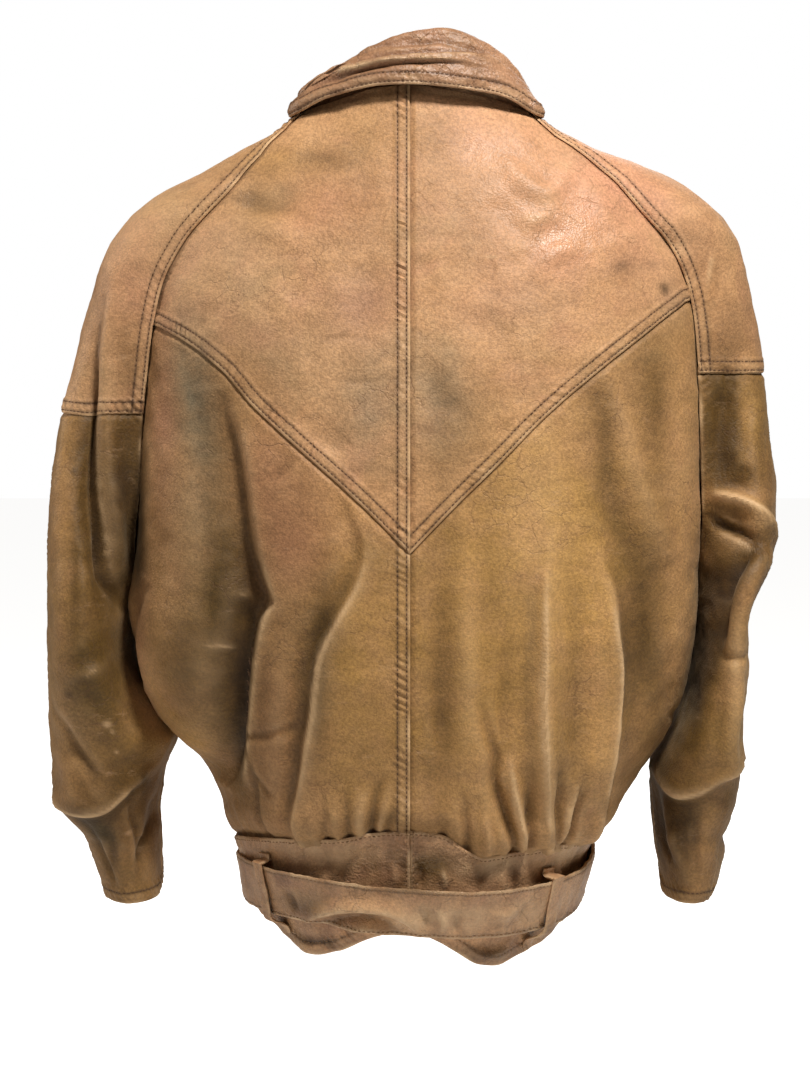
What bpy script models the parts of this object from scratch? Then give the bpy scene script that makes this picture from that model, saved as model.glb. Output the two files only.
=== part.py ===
"""A worn leather blouson, filled out as if on a person, zipped and belted.

Metres, +Z up.  The back of the jacket faces -Y and the wearer's front +Y.  The origin
is between the wearer's shoulders, level with the side of the neck seam.

Every piece of leather is a wall cut from two forms: the torso, a stack of horizontal
sections from collar to hem, and the sleeve, a stack that starts on the armhole seam
and ends at the cuff.  Angles on the torso run from the centre back, 0, to the centre
front, 180, positive on the side of +X.  Angles on a sleeve run from its outer side, 0,
to the back, negative, and to the front, positive.
"""
import math

import bpy
import numpy as np

LEATHER = 0.0015          # wall of every panel
COLLAR_WALL = 0.0024      # the collar is two layers sewn together
STRAP_WALL = 0.0026       # the belt is two layers with a core
SEAM_GAP = 0.0003         # clearance between neighbouring pieces

LEFT = -1
RIGHT = 1


def table(names, *rows):
    """A table with named columns, one row for each section."""
    columns = np.array(sorted(rows), dtype=float).T
    return dict(zip(names.split(), columns))


def read(tab, column, at):
    """The value of a column at a place in the first column, on a monotone cubic."""
    xs = next(iter(tab.values()))
    ys = tab[column]
    at = np.clip(at, xs[0], xs[-1])
    step = np.diff(xs)
    slope = np.diff(ys) / step
    tangent = np.zeros_like(ys)
    tangent[0], tangent[-1] = slope[0], slope[-1]
    same = slope[:-1] * slope[1:] > 0
    inner = np.zeros(len(ys) - 2)
    inner[same] = 2 * (slope[:-1] * slope[1:])[same] / (slope[:-1] + slope[1:])[same]
    tangent[1:-1] = inner
    k = np.clip(np.searchsorted(xs, at, side="right") - 1, 0, len(step) - 1)
    h = step[k]
    t = (at - xs[k]) / h
    return (
        ys[k] * (1 + 2 * t) * (1 - t) ** 2
        + tangent[k] * h * t * (1 - t) ** 2
        + ys[k + 1] * t * t * (3 - 2 * t)
        + tangent[k + 1] * h * t * t * (t - 1)
    )


# ---------------------------------------------------------------- the torso's sections
TORSO = table(
    "z left right back front square",
    (0.040, 0.086, 0.096, 0.066, 0.048, 2.1),
    (0.010, 0.101, 0.113, 0.074, 0.056, 2.1),
    (-0.030, 0.150, 0.166, 0.088, 0.070, 2.2),
    (-0.060, 0.180, 0.196, 0.100, 0.084, 2.3),
    (-0.100, 0.206, 0.222, 0.114, 0.102, 2.4),
    (-0.150, 0.216, 0.234, 0.127, 0.119, 2.5),
    (-0.200, 0.219, 0.238, 0.136, 0.130, 2.6),
    (-0.300, 0.222, 0.239, 0.147, 0.140, 2.6),
    (-0.385, 0.225, 0.232, 0.152, 0.144, 2.5),
    (-0.430, 0.219, 0.223, 0.153, 0.144, 2.4),
    (-0.470, 0.202, 0.213, 0.152, 0.142, 2.3),
    (-0.500, 0.184, 0.202, 0.151, 0.138, 2.3),
    (-0.530, 0.166, 0.187, 0.149, 0.133, 2.2),
    (-0.560, 0.151, 0.168, 0.144, 0.128, 2.2),
    (-0.590, 0.143, 0.150, 0.136, 0.122, 2.2),
    (-0.625, 0.133, 0.141, 0.133, 0.120, 2.2),
    (-0.650, 0.121, 0.128, 0.129, 0.118, 2.2),
    (-0.680, 0.112, 0.118, 0.124, 0.114, 2.2),
)

# Heights of the seams that run round the torso, by angle.
NECK = table(
    "angle z",
    (-180, -0.078), (-165, -0.056), (-155, -0.036), (-147, -0.022), (-52, -0.003),
    (-40, 0.003), (-30, 0.008), (-15, 0.014), (0, 0.016), (15, 0.013), (30, 0.008),
    (40, 0.004), (52, -0.003), (147, -0.022), (155, -0.036), (165, -0.056),
    (180, -0.078),
)
WAIST = table(
    "angle z",
    (-180, -0.596), (-90, -0.585), (-60, -0.573), (-35, -0.566), (-20, -0.562),
    (-12, -0.557), (0, -0.555), (8, -0.558), (16, -0.572), (22, -0.579), (30, -0.577),
    (45, -0.576), (60, -0.578), (90, -0.585), (180, -0.596),
)
HEM = table(
    "angle z",
    (-180, -0.660), (-120, -0.650), (-90, -0.636), (-60, -0.643), (-50, -0.655),
    (-40, -0.661), (-27, -0.655), (-15, -0.643), (-5, -0.637), (5, -0.640),
    (15, -0.652), (25, -0.665), (32, -0.668), (45, -0.662), (57, -0.655),
    (75, -0.643), (90, -0.640), (120, -0.650), (180, -0.660),
)

UNDERARM = -0.385         # height where the armhole closes
YOKE_POINT = -0.340       # height of the yoke's V at the centre back
ZIP_EDGE = 0.0065         # from the zip's middle to a front panel's edge

# The armhole seam's angle on the torso, behind on each side and in front, by height.
ARMHOLE = table(
    "z left right front",
    (0.014, 51, 54, 147),
    (-0.012, 50, 50, 147),
    (-0.030, 49, 52, 146),
    (-0.055, 48, 55, 144),
    (-0.080, 51, 57, 142),
    (-0.108, 56, 63, 139),
    (-0.133, 60, 66, 135),
    (-0.160, 62, 67, 133),
    (-0.200, 64, 67, 129),
    (-0.240, 67, 68, 126),
    (-0.300, 70, 70, 124),
    (-0.345, 76, 76, 117),
    (-0.370, 83, 83, 106),
    (-0.385, 90, 90, 90),
)

# The yoke's V seam: height by distance from the centre back, on each side.
YOKE_SEAM = {
    LEFT: table(
        "across z",
        (0.000, -0.340), (0.046, -0.295), (0.088, -0.258), (0.123, -0.226),
        (0.144, -0.202), (0.173, -0.180), (0.200, -0.166),
    ),
    RIGHT: table(
        "across z",
        (0.000, -0.340), (0.036, -0.303), (0.066, -0.274), (0.103, -0.237),
        (0.141, -0.205), (0.180, -0.175), (0.220, -0.146),
    ),
}

# ---------------------------------------------------------------- the sleeves' sections
SLEEVE = {
    LEFT: table(
        "z outer inner back front square",
        (0.014, 0.074, 0.010, 0.050, 0.036, 2.0),
        (0.000, 0.086, 0.016, 0.051, 0.040, 2.0),
        (-0.010, 0.104, 0.026, 0.053, 0.043, 2.0),
        (-0.025, 0.133, 0.040, 0.056, 0.048, 2.0),
        (-0.044, 0.170, 0.060, 0.062, 0.056, 2.0),
        (-0.064, 0.208, 0.080, 0.068, 0.064, 2.1),
        (-0.081, 0.228, 0.098, 0.073, 0.070, 2.2),
        (-0.109, 0.247, 0.118, 0.080, 0.078, 2.2),
        (-0.163, 0.266, 0.140, 0.088, 0.087, 2.3),
        (-0.233, 0.280, 0.158, 0.093, 0.093, 2.3),
        (-0.299, 0.291, 0.180, 0.095, 0.096, 2.3),
        (-0.350, 0.294, 0.208, 0.095, 0.098, 2.2),
        (-0.385, 0.294, 0.230, 0.094, 0.099, 2.2),
        (-0.430, 0.295, 0.228, 0.091, 0.099, 2.1),
        (-0.460, 0.295, 0.214, 0.087, 0.097, 2.1),
        (-0.480, 0.295, 0.203, 0.084, 0.096, 2.1),
        (-0.500, 0.294, 0.192, 0.080, 0.094, 2.1),
        (-0.520, 0.293, 0.200, 0.075, 0.091, 2.0),
        (-0.535, 0.292, 0.205, 0.070, 0.089, 2.0),
        (-0.565, 0.289, 0.208, 0.062, 0.084, 2.0),
        (-0.600, 0.277, 0.209, 0.052, 0.077, 2.0),
        (-0.625, 0.267, 0.208, 0.045, 0.072, 2.0),
        (-0.645, 0.260, 0.208, 0.040, 0.068, 2.0),
    ),
    RIGHT: table(
        "z outer inner back front square",
        (0.014, 0.086, 0.010, 0.050, 0.036, 2.0),
        (0.002, 0.099, 0.018, 0.052, 0.040, 2.0),
        (-0.022, 0.145, 0.040, 0.056, 0.048, 2.0),
        (-0.042, 0.199, 0.060, 0.062, 0.056, 2.0),
        (-0.058, 0.230, 0.080, 0.068, 0.064, 2.1),
        (-0.080, 0.255, 0.100, 0.073, 0.070, 2.2),
        (-0.105, 0.269, 0.120, 0.080, 0.078, 2.2),
        (-0.141, 0.278, 0.140, 0.086, 0.085, 2.3),
        (-0.190, 0.286, 0.154, 0.091, 0.090, 2.3),
        (-0.244, 0.290, 0.166, 0.094, 0.094, 2.3),
        (-0.300, 0.298, 0.186, 0.095, 0.096, 2.3),
        (-0.343, 0.298, 0.212, 0.095, 0.098, 2.2),
        (-0.367, 0.293, 0.228, 0.094, 0.099, 2.2),
        (-0.390, 0.284, 0.237, 0.093, 0.099, 2.2),
        (-0.430, 0.278, 0.232, 0.090, 0.098, 2.1),
        (-0.470, 0.276, 0.226, 0.086, 0.096, 2.1),
        (-0.500, 0.274, 0.212, 0.080, 0.093, 2.1),
        (-0.530, 0.271, 0.199, 0.072, 0.090, 2.0),
        (-0.565, 0.268, 0.201, 0.062, 0.084, 2.0),
        (-0.600, 0.265, 0.205, 0.052, 0.077, 2.0),
        (-0.625, 0.258, 0.210, 0.045, 0.072, 2.0),
        (-0.645, 0.250, 0.213, 0.040, 0.068, 2.0),
    ),
}
CAP_SEAM = {LEFT: -0.236, RIGHT: -0.204}     # height of the seam across the upper arm
CUFF = {LEFT: -0.634, RIGHT: -0.634}         # height of the cuff's hem
OUTER_SEAM = {LEFT: -14, RIGHT: -42}     # angle of the outer seam, which ends in the slit
FLAP_SHARE = 0.55         # how far the flap reaches to the panels' next fold line
FLAP_GAP = 0.0006
SLIT_OPEN = 0.012         # share of the way round that the slit is open at the hem

# ---------------------------------------------------------------- the largest folds
# Each fold is a ridge, or a trough where its height is negative, along a path of
# (across, z, height).  Its two flanks, left and right of it, have their own widths.
BODY_FOLDS = (
    # facing, left flank, right flank, path
    ("back", 0.034, 0.026, ((-0.150, -0.215, 0), (-0.128, -0.300, -0.006),
                            (-0.120, -0.390, -0.009), (-0.126, -0.470, -0.010),
                            (-0.132, -0.560, -0.004))),
    ("back", 0.036, 0.028, ((-0.165, -0.250, 0), (-0.168, -0.340, 0.005),
                            (-0.174, -0.420, 0.006), (-0.165, -0.520, 0))),
    ("back", 0.024, 0.030, ((-0.050, -0.310, 0), (-0.044, -0.380, 0.005),
                            (-0.066, -0.450, 0.007), (-0.085, -0.560, 0.002))),
    ("back", 0.030, 0.030, ((0.140, -0.240, 0), (0.152, -0.300, -0.006),
                            (0.170, -0.370, -0.004), (0.176, -0.420, 0))),
    ("back", 0.024, 0.030, ((0.100, -0.370, 0), (0.098, -0.470, 0.005),
                            (0.095, -0.560, 0.001))),
    ("back", 0.030, 0.024, ((0.160, -0.430, 0), (0.150, -0.500, 0.006),
                            (0.135, -0.560, 0.001))),
    ("front", 0.032, 0.026, ((-0.112, -0.330, 0), (-0.102, -0.430, 0.006),
                             (-0.092, -0.580, 0.002))),
    ("front", 0.026, 0.032, ((0.120, -0.300, 0), (0.105, -0.430, 0.006),
                             (0.085, -0.580, 0.002))),
    ("front", 0.026, 0.026, ((0.074, -0.400, 0), (0.068, -0.490, -0.005),
                             (0.066, -0.580, -0.002))),
    ("front", 0.026, 0.026, ((-0.066, -0.390, 0), (-0.068, -0.490, -0.005),
                             (-0.066, -0.580, -0.002))),
)
# Across a sleeve, 1 is its outer side and -1 its inner side.
SLEEVE_FOLDS = {
    LEFT: (
        ("back", 0.030, 0.020, ((0.55, -0.130, 0), (0.45, -0.230, -0.006),
                                (0.40, -0.330, -0.008), (-0.05, -0.460, -0.004),
                                (-0.20, -0.500, 0))),
        ("back", 0.024, 0.030, ((0.95, -0.580, 0), (0.60, -0.568, 0.008),
                                (0.00, -0.540, 0.008), (-0.90, -0.505, 0.002))),
        ("front", 0.030, 0.030, ((0.60, -0.420, 0), (0.00, -0.450, -0.008),
                                 (-0.70, -0.470, 0))),
        ("front", 0.028, 0.028, ((0.80, -0.520, 0), (0.00, -0.540, 0.006),
                                 (-0.80, -0.530, 0))),
    ),
    RIGHT: (
        ("back", 0.026, 0.022, ((-0.60, -0.305, 0), (0.10, -0.298, 0.007),
                                (0.80, -0.285, 0.003))),
        ("back", 0.030, 0.028, ((0.90, -0.335, 0), (0.20, -0.385, -0.007),
                                (-0.50, -0.430, -0.002))),
        ("back", 0.026, 0.026, ((-0.80, -0.545, 0), (0.00, -0.535, 0.006),
                                (0.80, -0.525, 0))),
        ("front", 0.030, 0.030, ((0.60, -0.420, 0), (0.00, -0.450, -0.008),
                                 (-0.70, -0.470, 0))),
        ("front", 0.028, 0.028, ((0.80, -0.520, 0), (0.00, -0.540, 0.006),
                                 (-0.80, -0.530, 0))),
    ),
}


def smooth(t):
    """0 to 1 with flat ends."""
    t = np.clip(t, 0, 1)
    return t * t * (3 - 2 * t)


def unit(vectors):
    return vectors / np.maximum(np.linalg.norm(vectors, axis=-1, keepdims=True), 1e-12)


# ---------------------------------------------------------------- the two forms
def section(angle, square):
    """A rounded square of half-width 1: sine and cosine pushed out to it."""
    s, c = np.sin(angle), np.cos(angle)
    reach = (np.abs(s) ** square + np.abs(c) ** square) ** (-1 / square)
    return reach * s, reach * c


def torso(angle_deg, z):
    """A point on the torso's smooth form."""
    angle_deg, z = np.broadcast_arrays(np.asarray(angle_deg, float), np.asarray(z, float))
    s, c = section(np.radians(angle_deg), read(TORSO, "square", z))
    left, right = read(TORSO, "left", z), read(TORSO, "right", z)
    depth = np.where(c > 0, read(TORSO, "back", z), read(TORSO, "front", z))
    return np.stack([np.where(s > 0, right, left) * s, -depth * c, z], axis=-1)


def torso_angle(x, z, facing="back"):
    """The torso's angle where it has a given x, on its back or its front."""
    half = np.where(x > 0, read(TORSO, "right", z), read(TORSO, "left", z))
    square = read(TORSO, "square", z)
    across = np.clip(x / half, -1, 1)
    depth = (1 - np.abs(across) ** square) ** (1 / square)
    angle = np.degrees(np.arctan2(np.abs(across), depth))
    if facing == "front":
        angle = 180 - angle
    return np.where(across < 0, -angle, angle)


def armhole_angle(side, face, z):
    """The armhole seam's angle on one side, at its back or its front."""
    column = "front" if face == "front" else "left" if side == LEFT else "right"
    return side * read(ARMHOLE, column, z)


def armhole(side, face, z):
    return torso(armhole_angle(side, face, np.maximum(z, UNDERARM)), z)


def sleeve_oval(side, angle, z):
    """A point on the sleeve's own oval section, at an angle in radians."""
    tab = SLEEVE[side]
    s, c = section(angle, read(tab, "square", z))
    outer, inner = read(tab, "outer", z), read(tab, "inner", z)
    depth = np.where(s < 0, read(tab, "back", z), read(tab, "front", z))
    x = side * ((outer + inner) / 2 + (outer - inner) / 2 * c)
    return np.stack([x, depth * s, z], axis=-1)


def seam_angle(side, point, z, depth_column):
    """The oval's angle in the direction of a point of the armhole seam."""
    tab = SLEEVE[side]
    outer, inner = read(tab, "outer", z), read(tab, "inner", z)
    across = (side * point[..., 0] - (outer + inner) / 2) / ((outer - inner) / 2)
    return np.arctan2(point[..., 1] / read(tab, depth_column, z), across)


def sleeve(side, t, z):
    """A point on the sleeve, t from the back seam, 0, round the outer side to 1."""
    t, z = np.broadcast_arrays(np.asarray(t, float), np.asarray(z, float))
    held = np.maximum(z, UNDERARM)
    back, front = armhole(side, "back", held), armhole(side, "front", held)
    start = seam_angle(side, back, held, "back")
    end = seam_angle(side, front, held, "front")
    start = np.where(z <= UNDERARM, -math.pi, np.where(start > 0, start - 2 * math.pi, start))
    end = np.where(z <= UNDERARM, math.pi, np.where(end < 0, end + 2 * math.pi, end))
    point = sleeve_oval(side, start + (end - start) * t, z)
    loosen = np.exp(-((held - z) / 0.018) ** 2)[..., None]
    to_back = (back - sleeve_oval(side, start, held)) * loosen
    to_front = (front - sleeve_oval(side, end, held)) * loosen
    return (
        point
        + to_back * (1 - smooth(t / 0.40))[..., None]
        + to_front * (1 - smooth((1 - t) / 0.40))[..., None]
    )


def sleeve_t(side, angle_deg, z):
    """The sleeve's t at an angle of its oval."""
    held = np.maximum(z, UNDERARM)
    start = seam_angle(side, armhole(side, "back", held), held, "back")
    end = seam_angle(side, armhole(side, "front", held), held, "front")
    start = np.where(z <= UNDERARM, -math.pi, np.where(start > 0, start - 2 * math.pi, start))
    end = np.where(z <= UNDERARM, math.pi, np.where(end < 0, end + 2 * math.pi, end))
    return (np.radians(angle_deg) - start) / (end - start)


# ---------------------------------------------------------------- folds
def outward(points):
    """Normals of a grid whose rows run down and whose columns run towards +angle."""
    down = np.gradient(points, axis=0)
    along = np.gradient(points, axis=1)
    return unit(np.cross(down, along))


def fold_height(points, path, heights, left, right, out):
    """How far one fold lifts each point: a bell across its path."""
    best = np.full(points.shape[:-1], 1e9)
    height = np.zeros(points.shape[:-1])
    for a, b, ha, hb in zip(path[:-1], path[1:], heights[:-1], heights[1:]):
        run = b - a
        t = np.clip(((points - a) @ run) / (run @ run), 0, 1)
        off = points - (a + t[..., None] * run)
        distance = np.linalg.norm(off, axis=-1)
        over = np.einsum("...i,...i", np.cross(run, off), out)
        width = np.where(over > 0, left, right)
        bell = np.exp(-(distance / width) ** 2)
        value = (ha + (hb - ha) * smooth(t)) * bell
        closer = distance < best
        best = np.where(closer, distance, best)
        height = np.where(closer, value, height)
    return height


def dense(rows, count=6):
    """More rows along a path of named rows, on a straight run between each two."""
    rows = np.array(rows, dtype=float)
    out = [rows[0]]
    for a, b in zip(rows[:-1], rows[1:]):
        out += [a + (b - a) * k / count for k in range(1, count + 1)]
    return np.array(out)


def seam_fade(points, side):
    """0 on the armhole seam and 1 from 25 mm away, so that both sides still meet."""
    z = np.linspace(0.014, UNDERARM, 40)
    loop = np.concatenate([armhole(side, "back", z), armhole(side, "front", z)])
    flat = points.reshape(-1, 3)
    near = np.min(np.linalg.norm(flat[:, None] - loop[None], axis=-1), axis=1)
    return smooth(near / 0.025).reshape(points.shape[:-1])


STEP_Z = 0.002            # the steps that normals are taken over
STEP_DEG = 0.5


def form_normal(form, around, z, step):
    """The outward normal of a form, for 'around' running towards +angle."""
    down = form(around, z - STEP_Z) - form(around, z + STEP_Z)
    along = form(around + step, z) - form(around - step, z)
    return unit(np.cross(down, along))


def folded_torso(angle, z):
    grid = torso(angle, z)
    out = form_normal(torso, angle, z, STEP_DEG)
    height = np.zeros(grid.shape[:-1])
    for facing, left, right, rows in BODY_FOLDS:
        rows = dense(rows)
        angle = torso_angle(rows[:, 0], rows[:, 1], facing)
        path = torso(angle, rows[:, 1])
        height += fold_height(grid, path, rows[:, 2], left, right, out)
    height *= seam_fade(grid, LEFT) * seam_fade(grid, RIGHT)
    return grid + out * height[..., None]


def folded_sleeve(side, t, z):
    def form(around, height):
        return sleeve(side, around, height)

    grid = form(t, z)
    out = form_normal(form, t, z, 0.004) * side
    height = np.zeros(grid.shape[:-1])
    for facing, left, right, rows in SLEEVE_FOLDS[side]:
        rows = dense(rows)
        turn = np.arccos(np.clip(rows[:, 0], -1, 1)) * (-1 if facing == "back" else 1)
        path = sleeve_oval(side, turn, rows[:, 1])
        height += fold_height(grid, path, rows[:, 2], left, right, out)
    height *= seam_fade(grid, side)
    clear_of_body = smooth((side * grid[..., 0] - 0.236) / 0.02)
    below = smooth((UNDERARM + 0.02 - grid[..., 2]) / 0.04)
    height *= 1 - below * (1 - clear_of_body) * (grid[..., 2] > -0.53)
    return grid + out * height[..., None]


# ---------------------------------------------------------------- walls
def patch(top, bottom, left, right):
    """A four-sided grid between its edges, by Coons' rule."""
    rows, columns = len(left), len(top)
    v = np.linspace(0, 1, rows)[:, None, None]
    u = np.linspace(0, 1, columns)[None, :, None]
    return (
        (1 - v) * top[None] + v * bottom[None]
        + (1 - u) * left[:, None] + u * right[:, None]
        - (1 - u) * (1 - v) * top[0] - u * (1 - v) * top[-1]
        - (1 - u) * v * bottom[0] - u * v * bottom[-1]
    )


def drawn_in(points, normals, gap):
    """A grid with each edge moved away from its seam, square to the seam's normal."""
    moved = points.copy()
    for edge, inner in (((0,), (1,)), ((-1,), (-2,)),
                        ((slice(None), 0), (slice(None), 1)),
                        ((slice(None), -1), (slice(None), -2))):
        run = points[inner] - points[edge]
        normal = normals[edge]
        run = run - normal * np.sum(run * normal, axis=-1, keepdims=True)
        moved[edge] += unit(run) * gap
    return moved


def divided(vertices, quad):
    """A quad's two triangles, divided along its shorter diagonal."""
    a, b, c, d = quad
    if np.linalg.norm(vertices[a] - vertices[c]) <= np.linalg.norm(vertices[b] - vertices[d]):
        return (a, b, c), (a, c, d)
    return (a, b, d), (b, c, d)


def wall(name, points, normals, thickness, material):
    """A closed wall: a grid of points, and the same grid moved inward."""
    rows, columns = points.shape[:2]
    count = rows * columns
    vertices = np.concatenate([points.reshape(-1, 3),
                               (points - normals * thickness).reshape(-1, 3)])
    number = np.arange(count).reshape(rows, columns)
    faces = []
    for i in range(rows - 1):
        for j in range(columns - 1):
            quad = (number[i, j], number[i + 1, j], number[i + 1, j + 1], number[i, j + 1])
            for a, b, c in divided(vertices, quad):
                faces.append((a, b, c))
                faces.append((c + count, b + count, a + count))
    edge = [number[0, j] for j in range(columns)]
    edge += [number[i, -1] for i in range(1, rows)]
    edge += [number[-1, j] for j in range(columns - 2, -1, -1)]
    edge += [number[i, 0] for i in range(rows - 2, 0, -1)]
    for a, b in zip(edge, edge[1:] + edge[:1]):
        faces.append((a, b, b + count, a + count))
    return solid(name, vertices, faces, material)


def solid(name, vertices, faces, material):
    mesh = bpy.data.meshes.new(name)
    mesh.from_pydata([tuple(v) for v in np.asarray(vertices, float)], [],
                     [tuple(int(i) for i in face) for face in faces])
    mesh.validate()
    mesh.update()
    mesh.materials.append(material)
    mesh.shade_smooth()
    mesh.set_sharp_from_angle(angle=math.radians(50))
    part = bpy.data.objects.new(name, mesh)
    bpy.context.scene.collection.objects.link(part)
    return part


def finish(name, colour, roughness, metallic=0.0):
    material = bpy.data.materials.new(name)
    material.use_nodes = True
    shader = material.node_tree.nodes["Principled BSDF"]
    shader.inputs["Base Color"].default_value = (*colour, 1)
    shader.inputs["Roughness"].default_value = roughness
    shader.inputs["Metallic"].default_value = metallic
    return material


# ---------------------------------------------------------------- the panels
# How many rows and columns each stretch of seam is divided into.
YOKE_ROWS = 8             # neck to the end of the yoke's V
CAP_ROWS = 3              # end of the V to the seam across the upper arm
ARMHOLE_ROWS = 6          # that seam to the underarm
SIDE_ROWS = 8             # underarm to waist
FOREARM_ROWS = 10         # underarm to cuff
SLIT_ROWS = 2             # of those, the ones that the cuff's slit takes
BAND_ROWS = 4
BACK_COLUMNS = 10
FRONT_COLUMNS = 8
CAP_COLUMNS = 9
SLEEVE_COLUMNS = 8        # on each half of the lower sleeve


def spaced(a, b, count):
    return np.linspace(a, b, count + 1)


def joined(*stretches):
    """Stretches of stations end to end, with no station twice."""
    return np.concatenate([stretches[0]] + [s[1:] for s in stretches[1:]])


def junction(side):
    """Height where the yoke's V meets the armhole seam."""
    return YOKE_SEAM[side]["z"][-1]


def neck_start(side, column):
    """Where the armhole seam leaves the neck seam: its angle and its height."""
    angle = armhole_angle(side, column, 0.0)
    return angle, read(NECK, "z", angle)


def armhole_stations(side, column):
    """Heights from the neck down to the underarm, the same for all that meet there."""
    top = neck_start(side, column)[1]
    middle = junction(side)
    return (
        spaced(top, middle, YOKE_ROWS),
        spaced(middle, CAP_SEAM[side], CAP_ROWS),
        spaced(CAP_SEAM[side], UNDERARM, ARMHOLE_ROWS),
    )


def along_armhole(side, column, z):
    return np.stack([armhole_angle(side, column, z), z], axis=-1)


def round_line(seam, angles):
    return np.stack([angles, read(seam, "z", angles)], axis=-1)


def straight_down(angle, z):
    return np.stack([np.full_like(z, angle), z], axis=-1)


def yoke_line(side):
    """The V seam from the armhole to the centre back, in angle and height."""
    tab = YOKE_SEAM[side]
    across = np.linspace(tab["across"][-1], 0, BACK_COLUMNS + 1)
    z = read(tab, "z", across)
    angle = torso_angle(side * across, z)
    angle[0] = armhole_angle(side, "back", z[0])
    angle[-1] = 0
    return np.stack([angle, z], axis=-1)


def yoke(side):
    angle, _ = neck_start(side, "back")
    outer = along_armhole(side, "back", armhole_stations(side, "back")[0])
    top = round_line(NECK, np.linspace(angle, 0, BACK_COLUMNS + 1))
    top[0] = outer[0]
    middle = straight_down(0, np.linspace(top[-1, 1], YOKE_POINT, YOKE_ROWS + 1))
    return torso_patch(side, top, yoke_line(side), outer, middle)


def lower_back(side):
    _, upper, lower = armhole_stations(side, "back")
    waist = round_line(WAIST, np.linspace(side * 90, 0, BACK_COLUMNS + 1))
    z = joined(upper, lower)
    outer = np.concatenate([
        along_armhole(side, "back", z),
        straight_down(side * 90, spaced(UNDERARM, waist[0, 1], SIDE_ROWS))[1:],
    ])
    middle = straight_down(0, np.linspace(YOKE_POINT, waist[-1, 1], len(outer)))
    return torso_patch(side, yoke_line(side), waist, outer, middle)


def zip_edge(side, z):
    """The angle of a front panel's edge beside the zip."""
    half = read(TORSO, "right" if side == RIGHT else "left", z)
    return side * (180 - np.degrees(np.arcsin(ZIP_EDGE / half)))


def front(side):
    angle, _ = neck_start(side, "front")
    outer = np.concatenate([
        along_armhole(side, "front", joined(*armhole_stations(side, "front"))),
        straight_down(side * 90, spaced(UNDERARM, read(WAIST, "z", side * 90.0),
                                        SIDE_ROWS))[1:],
    ])
    ends = [zip_edge(side, read(seam, "z", side * 180.0)) for seam in (NECK, WAIST)]
    top = round_line(NECK, np.linspace(angle, ends[0], FRONT_COLUMNS + 1))
    waist = round_line(WAIST, np.linspace(side * 90, ends[1], FRONT_COLUMNS + 1))
    top[0], outer[-1] = outer[0], waist[0]
    z = np.linspace(top[-1, 1], waist[-1, 1], len(outer))
    middle = np.stack([zip_edge(side, z), z], axis=-1)
    return torso_patch(side, top, waist, outer, middle)


def torso_patch(side, top, bottom, outer, middle):
    """A panel between a side seam and the centre; columns run towards +angle."""
    grid = patch(top, bottom, outer, middle)
    if grid[0, 0, 0] > grid[0, -1, 0]:
        grid = grid[:, ::-1]
    return folded_torso(grid[..., 0], grid[..., 1])


def waistband(side, half):
    """One half of the waistband on one side: 'back' or 'front'."""
    if half == "back":
        angles = np.linspace(0, 90, BACK_COLUMNS + 1)
    else:
        angles = np.linspace(90, abs(zip_edge(1, -0.62)), FRONT_COLUMNS + 1)
    angles = np.sort(side * angles)
    share = np.linspace(0, 1, BAND_ROWS + 1)[:, None]
    top = read(WAIST, "z", angles)[None]
    bottom = read(HEM, "z", angles)[None]
    z = top + (bottom - top) * share
    return torso(np.broadcast_to(angles, z.shape), z)


def sleeve_grid(side, t, z):
    """Columns run so that rows down crossed with columns point outward."""
    points = folded_sleeve(side, t, z)
    return points if side == RIGHT else points[:, ::-1]


def sleeve_cap(side):
    back_z = joined(*armhole_stations(side, "back")[:2])
    front_z = joined(*armhole_stations(side, "front")[:2])
    t = np.linspace(0, 1, CAP_COLUMNS + 1)[None]
    z = back_z[:, None] * (1 - t) + front_z[:, None] * t
    ridge = 0.010 * np.sin(math.pi * t) * np.linspace(1, 0, len(back_z))[:, None]
    return sleeve_grid(side, np.broadcast_to(t, z.shape), z + ridge)


def outer_seam_t(side, z):
    """The outer seam's t: it starts on the cap's grid line and ends at the slit."""
    start = round(0.42 * CAP_COLUMNS) / CAP_COLUMNS
    blend = smooth((CAP_SEAM[side] - z) / 0.12)
    return start + (sleeve_t(side, OUTER_SEAM[side], z) - start) * blend


def sleeve_lower(side, half):
    """Half of the lower sleeve, from the armhole round to the outer seam."""
    lower = armhole_stations(side, "back")[2]
    z = joined(lower, spaced(UNDERARM, CUFF[side], FOREARM_ROWS))
    seam = outer_seam_t(side, z)[:, None]
    slit_top = z[-1 - SLIT_ROWS]
    apart = 0.5 * SLIT_OPEN * np.clip((slit_top - z) / (slit_top - z[-1]), 0, 1)[:, None]
    share = np.linspace(0, 1, SLEEVE_COLUMNS + 1)[None]
    if half == "back":
        t = share * (seam - apart)
    else:
        t = (seam + apart) + share * (1 - seam - apart)
    return sleeve_grid(side, t, np.broadcast_to(z[:, None], t.shape))


def cuff_flap(side, back, front):
    """The flap behind the slit, made from the two halves' points moved inward."""
    if side == LEFT:
        back, front = back[:, ::-1], front[:, ::-1]
    rows = slice(-1 - SLIT_ROWS, None)
    seam = (back[rows, -1] + front[rows, 0]) / 2
    behind = seam + (back[rows, -2] - seam) * FLAP_SHARE
    before = seam + (front[rows, 1] - seam) * FLAP_SHARE
    grid = np.stack([behind, seam, before], axis=1)
    grid = grid if side == RIGHT else grid[:, ::-1]
    return grid - outward(grid) * (LEATHER + FLAP_GAP)


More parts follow.
